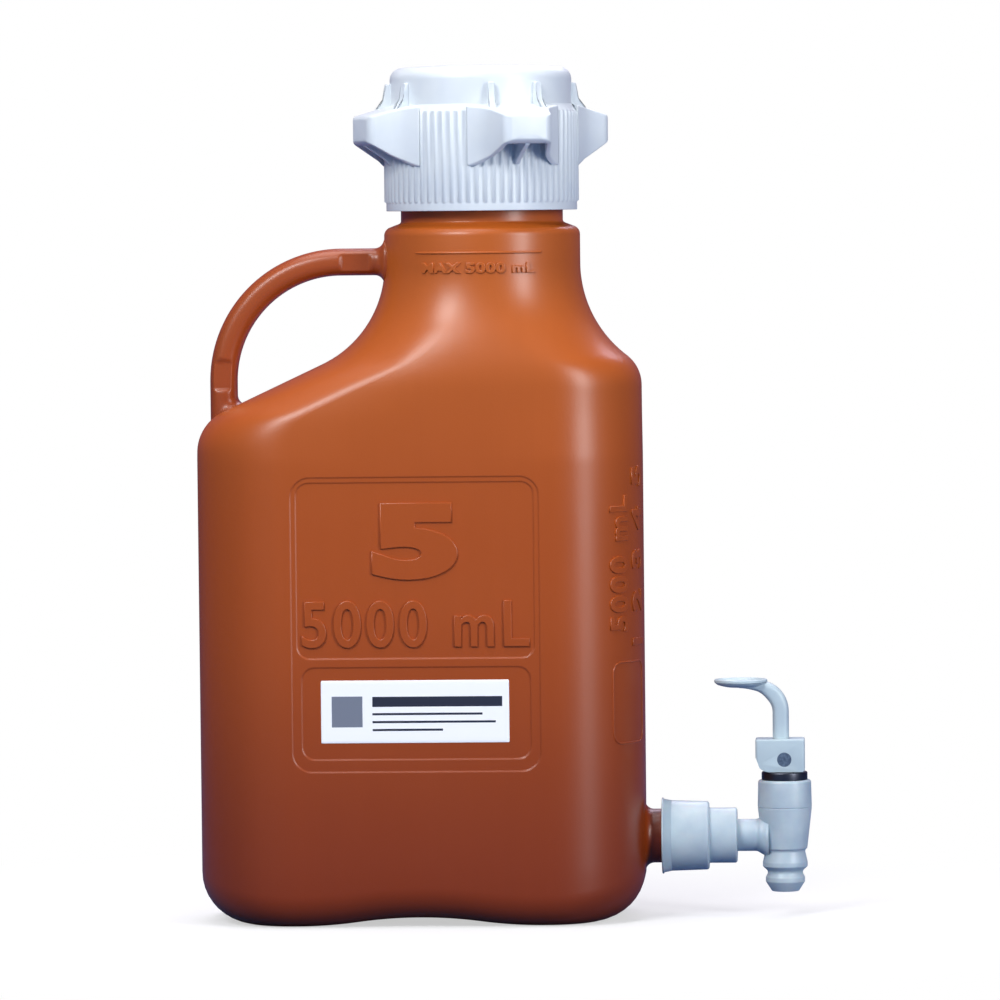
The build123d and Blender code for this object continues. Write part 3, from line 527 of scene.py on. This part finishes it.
# ============================== tap
def tap_nozzle():
    """Upright part of the tap: barrel, ridged hose end and bore, turned about the tap's axis."""
    corners = [
        (OUTLET_R, CHAMBER_LOW, 0), (OUTLET_R, OUTLET_Z, 0.5), (6.2, OUTLET_Z, 0.6), (9.0, 15.6, 0.9),
        (9.0, 17.6, 0.9), (7.7, 20.2, 1.6), (10.3, 22.6, 0.8), (10.3, 24.6, 0.9), (9.1, 30.0, 1.4),
        (BARREL_LOW_R, BARREL_LOW_Z, 1.0), (BARREL_R, SEAM_Z, 0.35), (10.35, SEAM_Z, 0.2),
        (10.35, PLUG_LOW, 0.2), (CHAMBER_R, PLUG_LOW, 0.2), (CHAMBER_R, CHAMBER_LOW, 0.3),
        (OUTLET_R, CHAMBER_LOW, 0),
    ]
    return turned("tap_nozzle", rounded(corners)[:-1], (TAP_X, 0, 0), ring=True)


def tap_tail():
    """Level part of the tap: the tube from the bottle's bore to the barrel, with the flange that the nut pulls on."""
    corners = [
        (TAIL_BORE, TAIL_START, 0), (TAIL_R, TAIL_START, 0.4), (TAIL_R, FLANGE_START, 0.2),
        (FLANGE_R, FLANGE_START, 0.3), (FLANGE_R, FLANGE_END, 0.4), (TAIL_R, FLANGE_END, 0.4),
        (TAIL_R, 153.2, 2.6), (10.6, TAIL_END, 0.0), (TAIL_BORE, TAIL_END, 0.0),
        (TAIL_BORE, TAIL_START, 0),
    ]
    return turned("tap_tail", rounded(corners)[:-1], (0, 0, BOSS_Z), axis="X", ring=True)


def tap_nut():
    """Round union nut: a thin lip, a tapered body, a step and a hub, open behind for the boss and the flange."""
    corners = [
        (NUT_BORE, NUT_START, 0.2), (NUT_R, NUT_START, 0.35), (NUT_R, NUT_START + 0.9, 0.35),
        (NUT_BODY_R, NUT_START + 0.9, 0.2), (NUT_BODY_R - 0.65, NUT_STEP, 1.2), (HUB_R, NUT_STEP, 0.5),
        (HUB_R, NUT_END, 1.1), (HUB_BORE, NUT_END, 0.4), (HUB_BORE, FLANGE_END + 0.25, 0.2),
        (NUT_BORE, FLANGE_END + 0.25, 0.2), (NUT_BORE, NUT_START, 0.2),
    ]
    return turned("tap_nut", rounded(corners)[1:-1], (0, 0, BOSS_Z), axis="X", around=128, ring=True)


def tap_bonnet():
    """Cover that is pressed into the barrel, with a rounded top edge and the stem's hole."""
    corners = [
        (CHAMBER_R, PLUG_LOW, 0.1), (10.3, PLUG_LOW, 0.2), (10.3, SEAM_Z, 0.1), (BARREL_R, SEAM_Z, 0.35),
        (12.15, BONNET_TOP, 1.2), (STEM_HOLE, BONNET_TOP, 0.3), (STEM_HOLE, 58.1, 0.3),
        (CHAMBER_R, 58.1, 0.5), (CHAMBER_R, PLUG_LOW, 0.1),
    ]
    return turned("tap_bonnet", rounded(corners)[:-1], (TAP_X, 0, 0), ring=True)


def tap_ring():
    """Polished wear ring under the lever's foot."""
    corners = [
        (STEM_HOLE, BONNET_TOP, 0), (10.55, BONNET_TOP, 0.2), (10.55, RING_TOP, 0.75),
        (STEM_HOLE, RING_TOP, 0.3), (STEM_HOLE, BONNET_TOP, 0),
    ]
    return turned("tap_ring", rounded(corners)[:-1], (TAP_X, 0, 0), ring=True)


def softened(node, name, width, cut):
    """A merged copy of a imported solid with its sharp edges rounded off, kept only below the cut's height."""
    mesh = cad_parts[node].data.copy()
    mesh.name = name
    work = bmesh.new()
    work.from_mesh(mesh)
    bmesh.ops.remove_doubles(work, verts=work.verts, dist=1e-6)
    bmesh.ops.dissolve_limit(work, angle_limit=radians(0.5), verts=work.verts, edges=work.edges)
    everything = work.verts[:] + work.edges[:] + work.faces[:]
    bmesh.ops.bisect_plane(work, geom=everything, plane_co=(0, 0, cut * MM), plane_no=(0, 0, 1), clear_outer=True)
    work.to_mesh(mesh)
    work.free()
    mesh.polygons.foreach_set("use_smooth", [True] * len(mesh.polygons))
    piece = linked(name, mesh)
    bevel = piece.modifiers.new("edge", "BEVEL")
    bevel.width, bevel.segments, bevel.limit_method, bevel.angle_limit = width * MM, 3, "ANGLE", radians(32)
    bevel.harden_normals = True
    return piece


def lever_arm():
    """Upright arm and bend: a rounded bar carried up and over a quarter arc, which flattens and widens into the
    paddle's underside. Its end stays below the paddle's hollow."""
    foot, start = FOOT_TOP - 1.2, PADDLE_TOP - ARM_THICK / 2 - ARM_BEND
    up = np.linspace(foot, start, 14)[:-1]
    turn = np.linspace(0, pi / 2, 40)
    level = np.linspace(0, ARM_REACH, 16)[1:]
    side = TAP_X - ARM_SHIFT
    path = np.vstack(
        [
            np.column_stack([np.full_like(up, side), up]),
            np.column_stack([side - ARM_BEND * (1 - np.cos(turn)), start + ARM_BEND * np.sin(turn)]),
            np.column_stack([side - ARM_BEND - level, np.full_like(level, start + ARM_BEND)]),
        ]
    )
    out = np.vstack(
        [
            np.tile([1.0, 0.0], (len(up), 1)),
            np.column_stack([np.cos(turn), np.sin(turn)]),
            np.tile([0.0, 1.0], (len(level), 1)),
        ]
    )
    run = lengths(path)
    late = smooth_step(run, run[-1] - ARM_REACH - 0.9 * ARM_BEND, run[-1])[:, None]
    wide, thick = squared_ring(48, 3.2)
    wide = wide * (ARM_WIDE / 2 + 2.2 * late)
    thick = thick * ARM_THICK / 2 * (1 - 0.62 * late)
    rise = 1.1 * late
    x = path[:, :1] + out[:, :1] * (thick + rise)
    z = path[:, 1:] + out[:, 1:] * (thick + rise)
    inside = np.hypot(x - TAP_X + PADDLE_X, wide) < PADDLE_R - 1.0
    z = np.where(inside, np.minimum(z, PADDLE_TOP - 2.3), z)
    return surface("lever_arm", np.stack([x, wide + 0 * x, z], -1), fan_first=True, fan_last=True)


def lever_paddle():
    """Round dished paddle: a shallow bowl with a raised rounded rim and a hollow on top."""
    top = PADDLE_TOP
    corners = [
        (0.2, top - 3.9, 0), (6.5, top - 3.7, 14.0), (11.4, top - 2.5, 4.0), (PADDLE_R, top - 1.3, 0.8),
        (PADDLE_R, top, 0.55), (PADDLE_R - 1.4, top, 0.55), (PADDLE_R - 2.3, top - 1.0, 1.0),
        (5.0, top - 1.7, 12.0), (0.2, top - 1.8, 0),
    ]
    return turned("lever_paddle", rounded(corners), (TAP_X - PADDLE_X, 0, 0), closed_ends=True)


def sticker():
    """Thin sheet stuck on the lower window: its rim is rounded over the front face."""
    low_x, high_x, high, corner = LABEL_X - LABEL_WIDE / 2, LABEL_X + LABEL_WIDE / 2, LABEL_TALL / 2, 0.6
    low, right = (low_x, -high, corner), (high_x, -high, corner)
    corners = rounded([low, right, (high_x, high, corner), (low_x, high, corner), low, right], 4)[1:-1]
    base = -(HALF_DEPTH - 2 * PANEL_STEP)
    rows = []
    for out, lost in ((-0.05, 0.0), (0.1, 0.0), (0.17, 0.03), (0.2, 0.1), (0.2, 1.5)):
        flat = corners - np.clip(corners - [LABEL_X, 0.0], -lost, lost)
        rows.append(np.column_stack([flat[:, 0], np.full(len(flat), base - out), LABEL_Z + flat[:, 1]]))
    return surface("sticker_sheet", np.stack(rows), fan_first=True, fan_last=True)


# ============================== closure
def place_cap(r, turn, z):
    """Points from a radius and a direction about the neck's axis, and a height."""
    r, turn, z = np.broadcast_arrays(r, turn, z)
    return np.stack([NECK_X + r * np.cos(turn), r * np.sin(turn), z], -1)


def cap_shell():
    """Skirt and dome, turned about the neck's axis. In the grip band the radius grows by half-round ribs, and the
    ribs run out on short arcs at both ends."""
    corners = [
        (0.6, CAP_ROOF, 0), (DOME_BORE, CAP_ROOF, 1.0), (DOME_BORE, 372.0, 0.6),
        (SKIRT_BORE, 370.0, 0.6), (SKIRT_BORE, CAP_LOW, 0.35), (SKIRT_FACE, CAP_LOW, 0.35),
        (SKIRT_FACE, 328.6, 0.01), (SKIRT_FACE, RIB_LOW, 0.01), (SKIRT_FACE, RIB_LOW + 0.7, 0.01),
        (SKIRT_FACE, RIB_HIGH - 1.2, 0.01), (SKIRT_FACE, RIB_HIGH - 0.4, 0.01),
        (SKIRT_FACE, RIB_HIGH, 0.6), (DOME_R, DOME_FOOT, 0.9), (DOME_R, CAP_TOP - 1.5, 5.6),
        (20.0, CAP_TOP - 0.35, 8.0), (0.6, CAP_TOP, 0),
    ]
    outline = rounded(corners, steps=5)
    t = circle(RIBS * 10)
    off = (np.mod(t * RIBS / (2 * pi) + 0.5, 1) - 0.5) * 2 * pi / RIBS * (SKIRT_FACE - 0.25)
    rib = np.sqrt(np.maximum(RIB_R**2 - off**2, 0.25**2)) - 0.25
    r, z = outline[:, :1], outline[:, 1:]
    outside = (np.arange(len(outline)) > len(outline) // 3)[:, None]
    run_out = 1 - smooth_step(z, RIB_HIGH - 1.2, RIB_HIGH + 0.2)
    zone = smooth_step(z, RIB_LOW - 0.1, RIB_LOW + 0.7) * run_out * outside
    return surface("cap_shell", place_cap(r + rib * zone, t, z), fan_first=True, fan_last=True)


def wing_top(r):
    """Height of the wings' sloping top at a radius."""
    return DOME_FOOT - (r - DOME_R) * (DOME_FOOT - TIP_TOP) / (WING_REACH - DOME_R)


def wing_under(r):
    """Height of the wings' underside at a radius: nearly level at the skirt, then up to the tip."""
    return np.interp(r, [0, 44.7, 47.4, WING_REACH], [345.8, 345.8, 348.6, TIP_LOW])


def cap_wing(index):
    """One hollow wing: a U-shaped section, open below, carried out along the wing while its flanks draw in from a
    wide concave root to a blunt tip, which closes on an arc."""
    tip = WING_REACH - TIP_ROUND
    closing = WING_REACH - TIP_ROUND * (1 - np.sin(np.linspace(0.15, pi / 2, 8)))
    along = np.concatenate([np.linspace(WING_ROOT, 56.4, 38), np.linspace(56.5, tip, 8), closing])
    sections = []
    for x in along:
        sweep = 46.2 - x
        half = 11.0 + 0.186 * (WING_REACH - x) + 0.98 * (sweep + hypot(sweep, 4.5)) / 2
        lost = TIP_ROUND - sqrt(max(TIP_ROUND**2 - max(x - tip, 0.0) ** 2, 0.0))
        half -= TIP_CORNER - sqrt(max(TIP_CORNER**2 - max(x - WING_REACH + TIP_CORNER, 0.0) ** 2, 0.0))
        if x == along[0]:
            half = sqrt(42.8**2 - x**2)
        tall = float(wing_top(x) - wing_under(x))
        low, high = lost, tall - lost
        roof = tall - 2.4 if x <= 57.2 else low + 0.2
        inner = half - WING_WALL
        soft, hard = 0.9, min(0.5, 0.4 * (roof - low))
        corners = [
            (0.0, high, 0), (-half, high, soft), (-half, low, 0.6), (-inner, low, hard), (-inner, roof, hard),
            (inner, roof, hard), (inner, low, hard), (half, low, 0.6), (half, high, soft), (0.0, high, 0),
        ]
        ring = rounded(corners, steps=4)[:-1]
        y, share = ring[:, 0], ring[:, 1] / tall
        r = np.hypot(x, y)
        z = wing_under(r) + share * (wing_top(r) - wing_under(r))
        sections.append(place_cap(r, np.arctan2(y, x) + wing_turn(index), z))
    return surface(f"cap_wing_{index}", np.stack(sections), fan_last=True)


def wing_turn(index):
    """Direction of a wing about the neck's axis."""
    return radians(WING_START + 360.0 / WINGS * index)


def plate(name, outline, thick, edge, direction):
    """Upright plate in a plane through the neck's axis: a closed outline of (radius, height) points, whose rim
    rounds off over both faces."""
    turn = np.linspace(0, pi / 2, 5)
    centre = outline.mean(axis=0)
    reach = np.linalg.norm(outline - centre, axis=1).mean()
    level = edge * (1 - np.cos(turn))
    across = np.concatenate([level - thick / 2, thick / 2 - level[::-1]])
    inset = edge * (1 - np.sin(np.concatenate([turn, turn[::-1]])))
    rows = []
    for y, lost in zip(across, inset):
        flat = centre + (outline - centre) * (1 - lost / reach)
        x = NECK_X + flat[:, 0] * cos(direction) - y * sin(direction)
        rows.append(np.stack([x, flat[:, 0] * sin(direction) + y * cos(direction), flat[:, 1]], -1))
    return surface(name, np.stack(rows), fan_first=True, fan_last=True)


def gusset(index, side):
    """Fin from the dome down to a wing's top, whose outer edge is a concave arc."""
    foot = float(wing_top(FIN_OUT)) - 0.4
    low = foot - 1.2
    t = np.linspace(0, pi / 2, 12)
    drawn_in, risen = (FIN_OUT - FIN_TOP_OUT) * np.sin(t), (FIN_TOP - foot) * (1 - np.cos(t))
    sweep = np.column_stack([FIN_OUT - drawn_in, foot + risen])
    top = [(FIN_TOP_OUT, 383.6), (42.3, 383.9), (FIN_IN, 383.9)]
    outline = np.vstack([[(FIN_IN, low), (FIN_OUT, low)], sweep, top])
    direction = wing_turn(index) + radians(FIN_SPREAD * side)
    return plate(f"cap_fin_{index}_{side}", outline, FIN_THICK, 0.6, direction)


def web(index):
    """Thin wall down the middle of a wing's hollow."""
    r = np.linspace(43.0, 57.4, 12)
    under, top = np.column_stack([r, wing_under(r) + 0.4]), np.column_stack([r[::-1], wing_top(r[::-1]) - 2.0])
    return plate(f"cap_web_{index}", np.vstack([under, top]), WEB_THICK, 0.25, wing_turn(index))


# ============================== shading
def srgb(r, g, b):
    """Linear colour of an 8-bit display colour."""
    c = np.array([r, g, b]) / 255
    return (*np.where(c <= 0.04045, c / 12.92, ((c + 0.055) / 1.055) ** 2.4), 1.0)


class Group:
    """Builds a shader node group with named inputs and outputs."""

    def __init__(self, name, inputs, outputs):
        self.tree = bpy.data.node_groups.new(name, "ShaderNodeTree")
        for label, kind, value in inputs:
            socket = self.tree.interface.new_socket(label, in_out="INPUT", socket_type="NodeSocket" + kind)
            socket.default_value = value
        for label, kind in outputs:
            self.tree.interface.new_socket(label, in_out="OUTPUT", socket_type="NodeSocket" + kind)
        self.source = self.tree.nodes.new("NodeGroupInput")
        self.sink = self.tree.nodes.new("NodeGroupOutput")

    def node(self, kind, **settings):
        return add_node(self.tree, kind, **settings)

    def math(self, operation, *values):
        """One node of arithmetic: its value from others."""
        inputs = {f"in_{k}": value for k, value in enumerate(values)}
        return self.node("Math", operation=operation, **inputs).outputs[0]

    def give(self, **sockets):
        """Links each named output of the group, and returns the finished tree."""
        for label, socket in sockets.items():
            self.tree.links.new(socket, self.sink.inputs[label])
        return self.tree


def add_node(tree, kind, **settings):
    """Adds a shader node: keys that start with in_ set or link its inputs, and the others set its properties."""
    made = tree.nodes.new("ShaderNode" + kind)
    for key, value in settings.items():
        if not key.startswith("in_"):
            setattr(made, key, value)
    for key, value in settings.items():
        if key.startswith("in_"):
            label = key[3:]
            socket = made.inputs[int(label)] if label.isdigit() else made.inputs[label.replace("_", " ")]
            if isinstance(value, bpy.types.NodeSocket):
                tree.links.new(value, socket)
            else:
                socket.default_value = value
    return made


def node_tree(owner):
    """Turns on the nodes of a material or world and returns its tree."""
    owner.use_nodes = True
    return owner.node_tree


def mixed(tree, share, first, second):
    """Colour between two others, by a share."""
    return add_node(tree, "Mix", data_type="RGBA", in_0=share, in_6=first, in_7=second).outputs[2]


OUTPUTS = [("Color", "Color"), ("Roughness", "Float"), ("Height", "Float")]


def amber_tone_and_painted_shade():
    """Colour of the blown bottle with painted shade: a ramp with height, lighter at the top and darker and redder
    towards the base as the light from above falls off, with faint cloudy mottling and soft vertical flow streaks."""
    inputs = [
        ("Top", "Color", srgb(183, 91, 31)), ("Middle", "Color", srgb(167, 75, 20)),
        ("Shaded_Foot", "Color", srgb(130, 50, 16)), ("Mottle", "Float", 0.05),
    ]
    g = Group("amber_tone_and_painted_shade", inputs, OUTPUTS)
    given = g.source.outputs
    where = g.node("TexCoord").outputs["Object"]
    z = g.node("SeparateXYZ", in_Vector=where).outputs["Z"]
    # Painted shade: the colour is lighter at the top and darker towards the foot, standing in for light from above
    # that falls off lower down.
    high = g.node("MapRange", interpolation_type="SMOOTHSTEP", in_Value=z, in_1=0.16, in_2=0.30).outputs[0]
    low = g.node("MapRange", interpolation_type="SMOOTHSTEP", in_Value=z, in_1=0.0, in_2=0.17).outputs[0]
    upper = mixed(g.tree, high, given["Middle"], given["Top"])
    whole = mixed(g.tree, low, given["Shaded_Foot"], upper)
    cloud = g.node("TexNoise", in_Vector=where, in_Scale=22.0, in_Detail=4.0, in_Roughness=0.5).outputs["Fac"]
    drawn = g.node("VectorMath", operation="MULTIPLY", in_0=where, in_1=(190.0, 190.0, 9.0)).outputs[0]
    streak = g.node("TexNoise", in_Vector=drawn, in_Scale=1.0, in_Detail=2.0).outputs["Fac"]
    both = g.math("ADD", cloud, streak)
    level = g.math("SUBTRACT", both, 1.0)
    gain = g.math("MULTIPLY_ADD", level, given["Mottle"], 1.0)
    tone = g.node("VectorMath", operation="SCALE", in_0=whole, in_Scale=gain).outputs[0]
    grain = g.node("TexNoise", in_Vector=where, in_Scale=1400.0, in_Detail=3.0).outputs["Fac"]
    rough = g.node("MapRange", in_Value=cloud, in_3=0.30, in_4=0.38).outputs[0]
    relief = g.math("MULTIPLY_ADD", streak, 0.6, grain)
    return g.give(Color=tone, Roughness=rough, Height=relief)


def moulded_tone():
    """Colour of a moulded plastic: one tone with soft clouds and a fine grain for its relief."""
    inputs = [
        ("Tone", "Color", (0.8, 0.8, 0.8, 1)), ("Shade", "Color", (0.7, 0.7, 0.8, 1)),
        ("Scale", "Float", 60.0), ("Grain", "Float", 1800.0),
    ]
    g = Group("moulded_tone", inputs, OUTPUTS)
    given = g.source.outputs
    where = g.node("TexCoord").outputs["Object"]
    cloud = g.node("TexNoise", in_Vector=where, in_Scale=given["Scale"], in_Detail=3.0).outputs["Fac"]
    share = g.node("MapRange", in_Value=cloud, in_1=0.35, in_2=0.7).outputs[0]
    tone = mixed(g.tree, share, given["Tone"], given["Shade"])
    grain = g.node("TexNoise", in_Vector=where, in_Scale=given["Grain"], in_Detail=2.0).outputs["Fac"]
    rough = g.node("MapRange", in_Value=cloud, in_3=0.32, in_4=0.42).outputs[0]
    return g.give(Color=tone, Roughness=rough, Height=grain)


def material(name, group, bump=0.05, values=(), **principled):
    """A material from a group's colour, roughness and relief. Further keys set the shader's own inputs."""
    made = bpy.data.materials.new(name)
    tree = node_tree(made)
    shader = tree.nodes["Principled BSDF"]
    tone = tree.nodes.new("ShaderNodeGroup")
    tone.node_tree = group
    for label, value in values:
        tone.inputs[label].default_value = value
    tree.links.new(tone.outputs["Color"], shader.inputs["Base Color"])
    tree.links.new(tone.outputs["Roughness"], shader.inputs["Roughness"])
    relief = add_node(tree, "Bump", in_Height=tone.outputs["Height"], in_Strength=bump, in_Distance=0.0002)
    tree.links.new(relief.outputs["Normal"], shader.inputs["Normal"])
    for label, value in principled.items():
        shader.inputs[label.replace("_", " ")].default_value = value
    return made


def label_ink():
    """Print of a plain sticker: a square at the left, a heavy bar and three ruled lines, all placed by the sheet's
    own x and z."""
    inputs = [
        ("Ink", "Color", srgb(40, 44, 60)), ("Paper", "Color", srgb(254, 254, 254)),
        ("Accent", "Color", srgb(120, 126, 140)),
    ]
    g = Group("label_ink", inputs, OUTPUTS)
    given = g.source.outputs
    where = g.node("TexCoord").outputs["Object"]
    split = g.node("SeparateXYZ", in_Vector=where).outputs
    x, z = (g.math("MULTIPLY", split[axis], 1 / MM) for axis in "XZ")

    def within(value, low, high):
        above = g.math("GREATER_THAN", value, low)
        below = g.math("LESS_THAN", value, high)
        return g.math("MULTIPLY", above, below)

    def block(x0, x1, z0, z1):
        return g.math("MULTIPLY", within(x, x0, x1), within(z, z0, z1))

    left, line_thick = -20.0, 1.0
    dark = block(left, 39.0, LABEL_Z + 2.2, LABEL_Z + 6.8)
    for right, down in ((30.0, -1.6), (36.0, -5.2), (12.0, -8.8)):
        line = block(left, right, LABEL_Z + down, LABEL_Z + down + line_thick)
        dark = g.math("MAXIMUM", dark, line)
    accent = block(-38.5, -24.5, LABEL_Z - 7.0, LABEL_Z + 7.0)
    first = mixed(g.tree, accent, given["Paper"], given["Accent"])
    whole = mixed(g.tree, dark, first, given["Ink"])
    grain = g.node("TexNoise", in_Vector=where, in_Scale=900.0, in_Detail=2.0).outputs["Fac"]
    rough = g.node("MapRange", in_Value=grain, in_3=0.36, in_4=0.46).outputs[0]
    return g.give(Color=whole, Roughness=rough, Height=grain)


amber_group, moulded_group = amber_tone_and_painted_shade(), moulded_tone()


def moulded(name, tone, shade, bump=0.05, scale=60.0, **principled):
    """A material of the moulded group between two display colours."""
    values = [("Tone", srgb(*tone)), ("Shade", srgb(*shade)), ("Scale", scale)]
    return material(name, moulded_group, bump, values, **principled)


amber = material("amber", amber_group, bump=0.18, Specular_IOR_Level=0.5)
# Painted shade: the handle is the same amber plastic as the body, but it gets a darker copy of the body's colour.
handle_shaded_tones = [("Top", srgb(158, 72, 27)), ("Middle", srgb(140, 58, 18))]
amber_handle_shaded = material("amber_handle_shaded", amber_group, bump=0.18, values=handle_shaded_tones, Specular_IOR_Level=0.5)
white = moulded("white_cap", (224, 230, 232), (217, 224, 229), 0.06)
milky = moulded(
    "milky_tap", (190, 204, 210), (172, 189, 200), 0.08, 90.0, Subsurface_Weight=0.12, Subsurface_Scale=0.004
)
lever_white = moulded("lever_white", (192, 209, 214), (182, 199, 207))
steel = moulded("ring_steel", (82, 84, 92), (62, 64, 72), 0.02, Metallic=1.0)
pin_grey = moulded("pin", (96, 114, 134), (64, 78, 100), 0.3, 900.0)
rubber = moulded("rubber", (60, 60, 62), (48, 48, 50), 0.2)
spring_steel = moulded("spring_steel", (190, 190, 196), (160, 160, 168), Metallic=1.0)
paper = material("sticker", label_ink(), bump=0.03)


# ============================== pieces
shell = surface("bottle_shell", bottle_rows(), fan_first=True)
put(handle(), amber_handle_shaded, "bottle", "amber_plastic", "bottle")
# Figures have a name, a text, a width, a height and the place of their middle; the frame has its four sides.
amber_pieces = (
    shell,
    collar_bar(),
    neck_thread(),
    boss(),
    panel_figures("figure_large", "5", 39.3, 35.0, 176.1, 0.05),
    panel_figures("figure_volume", "5000 mL", 103.5, 21.5, 138.6, 0.006, 1.14),
    collar_figures("figure_fill", "MAX 5000 mL", 54.0, 5.0, 299.6),
    side_figures("figure_side", "5000 mL", 62.0, 12.5, 97.0, 164.5),
    side_figures("figure_number", "1 2 3 4 5", 82.0, 12.0, 113.0, 167.5),
    side_frame("side_frame", 92.5, 119.0, 82.5, 119.5),
)
for piece in amber_pieces:
    put(piece, amber, "bottle", "amber_plastic", "bottle")

for piece, body, made, name, nodes in (
    (tap_nozzle(), "bottle", milky, "grey_plastic", ["spigot_body"]),
    (tap_tail(), "bottle", milky, "grey_plastic", ["spigot_body"]),
    (tap_nut(), "bottle", milky, "grey_plastic", ["outlet_nut"]),
    (tap_bonnet(), "bottle", milky, "grey_plastic", ["bonnet"]),
    (tap_ring(), "bottle", steel, "steel", ["bonnet_ring"]),
    (softened("lever", "lever_soft", 0.55, FOOT_TOP + 0.05), "lever", lever_white, "white_plastic", ["lever"]),
    (lever_arm(), "lever", lever_white, "white_plastic", ["lever"]),
    (lever_paddle(), "lever", lever_white, "white_plastic", ["lever"]),
    (sticker(), "bottle", paper, "label_paper", ["label"]),
):
    put(piece, made, body, name, *nodes)

closure = [cap_shell()]
for index in range(WINGS):
    closure += [cap_wing(index), gusset(index, -1), gusset(index, 1), web(index)]
for piece in closure:
    put(piece, white, "cap", "white_plastic", "cap")

hidden = {
    "lever_pin": pin_grey,
    "valve_stem": spring_steel,
    "valve_spring": spring_steel,
    "valve_plug": rubber,
    "stem_seal": rubber,
    "cap_gasket": rubber,
    "outlet_gasket": rubber,
}
for node, made in hidden.items():
    dress(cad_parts[node], made)


# ============================== stage, light, camera
def floor_piece():
    """Flat floor round the object, wide enough to fill the view behind it."""
    x = np.linspace(-3000, 3000, 5)
    y = np.linspace(-3000, 6000, 5)
    points = np.stack(np.broadcast_arrays(x[None, :], y[:, None], np.zeros((5, 5))), -1)
    return surface("floor", points, close_u=False)


def backdrop():
    """Floor's material. The camera sees it white, with a soft contact shadow that fades into an even glow away from
    the object, and the object gets a dim blue light back from it."""
    made = bpy.data.materials.new("backdrop")
    tree = node_tree(made)
    plain = tree.nodes["Principled BSDF"]
    plain.inputs["Roughness"].default_value = 0.9
    plain.inputs["Specular IOR Level"].default_value = 0.0
    seen = add_node(tree, "LightPath").outputs["Is Camera Ray"]
    shade = mixed(tree, seen, (0.06, 0.11, 0.24, 1), (1.0, 1.0, 1.0, 1))
    tree.links.new(shade, plain.inputs["Base Color"])
    place = add_node(tree, "TexCoord").outputs["Object"]
    away = add_node(tree, "VectorMath", operation="LENGTH", in_0=place).outputs["Value"]
    limits = dict(in_1=0.12, in_2=0.36, in_3=0.55, in_4=1.0)
    fade = add_node(tree, "MapRange", interpolation_type="SMOOTHSTEP", in_Value=away, **limits).outputs[0]
    share = add_node(tree, "Math", operation="MULTIPLY", in_0=fade, in_1=seen).outputs[0]
    glow = add_node(tree, "Emission", in_Strength=1.0).outputs[0]
    blend = add_node(tree, "MixShader", in_0=share, in_1=plain.outputs[0], in_2=glow)
    tree.links.new(blend.outputs[0], tree.nodes["Material Output"].inputs["Surface"])
    return made


def studio():
    """World that the camera sees white and that lights the object softly: pale blue from the front, violet from
    behind."""
    world = bpy.data.worlds.new("studio")
    tree = node_tree(world)
    ambient = tree.nodes["Background"]
    ambient.inputs["Strength"].default_value = 0.32
    way = add_node(tree, "SeparateXYZ", in_Vector=add_node(tree, "TexCoord").outputs["Generated"]).outputs["Y"]
    behind = add_node(tree, "MapRange", interpolation_type="SMOOTHSTEP", in_Value=way, in_1=-0.4, in_2=0.5).outputs[0]
    sky = mixed(tree, behind, (0.46, 0.62, 0.88, 1), (0.26, 0.16, 0.50, 1))
    tree.links.new(sky, ambient.inputs["Color"])
    white_sky = add_node(tree, "Background", in_Color=(1, 1, 1, 1), in_Strength=1.0).outputs[0]
    seen = add_node(tree, "LightPath").outputs["Is Camera Ray"]
    blend = add_node(tree, "MixShader", in_0=seen, in_1=ambient.outputs[0], in_2=white_sky)
    tree.links.new(blend.outputs[0], tree.nodes["World Output"].inputs["Surface"])
    return world


floor = floor_piece()
dress(floor, backdrop())
bpy.context.scene.world = studio()


def lamp(name, place, target, size, power, colour=(1, 1, 1)):
    """A soft rectangular lamp that looks at a target."""
    data = bpy.data.lights.new(name, "AREA")
    data.shape, data.size, data.size_y, data.energy, data.color = "RECTANGLE", size[0], size[1], power, colour
    made = linked(name, data)
    made.location = place
    made.rotation_euler = (Vector(target) - Vector(place)).to_track_quat("-Z", "Y").to_euler()


# Lamps have a place, a target, a size, watts and a colour.
lamp("key", (-0.95, -1.75, 1.6), (0, 0, 0.22), (0.9, 0.9), 40)
lamp("fill", (1.7, -1.4, 0.75), (0, 0, 0.22), (0.55, 1.2), 29, (0.97, 0.98, 1.0))
lamp("back", (0.5, 1.9, 1.7), (0, 0, 0.2), (1.3, 0.8), 17, (0.86, 0.82, 1.0))
lamp("top", (-0.1, 0.0, 1.6), (0, 0, 0.2), (1.5, 0.9), 15, (1.0, 0.97, 0.98))

# Camera: where it stands round the object, how far and how high, how it is turned, and its lens in millimetres.
AZIMUTH, DISTANCE, EYE = radians(3.4), 3.384, 0.3365
PITCH, ROLL, YAW = radians(2.442), radians(-0.612), radians(0.6146)
LENS, SENSOR, FAR = 264.9, 36.0, 50.0

forward = Vector((sin(YAW - AZIMUTH) * cos(PITCH), cos(YAW - AZIMUTH) * cos(PITCH), -sin(PITCH)))
right = forward.cross(Vector((0, 0, 1))).normalized()
up = right.cross(forward)
level_right = cos(ROLL) * right + sin(ROLL) * up
level_up = cos(ROLL) * up - sin(ROLL) * right
pose = Matrix((level_right, level_up, -forward)).transposed().to_4x4()
pose.translation = (DISTANCE * sin(AZIMUTH), -DISTANCE * cos(AZIMUTH), EYE)
view = bpy.data.cameras.new("camera")
view.lens, view.sensor_width, view.clip_end = LENS, SENSOR, FAR
camera = linked("camera", view)
camera.matrix_world = pose
bpy.context.scene.camera = camera
bpy.context.scene.view_settings.view_transform = "Standard"
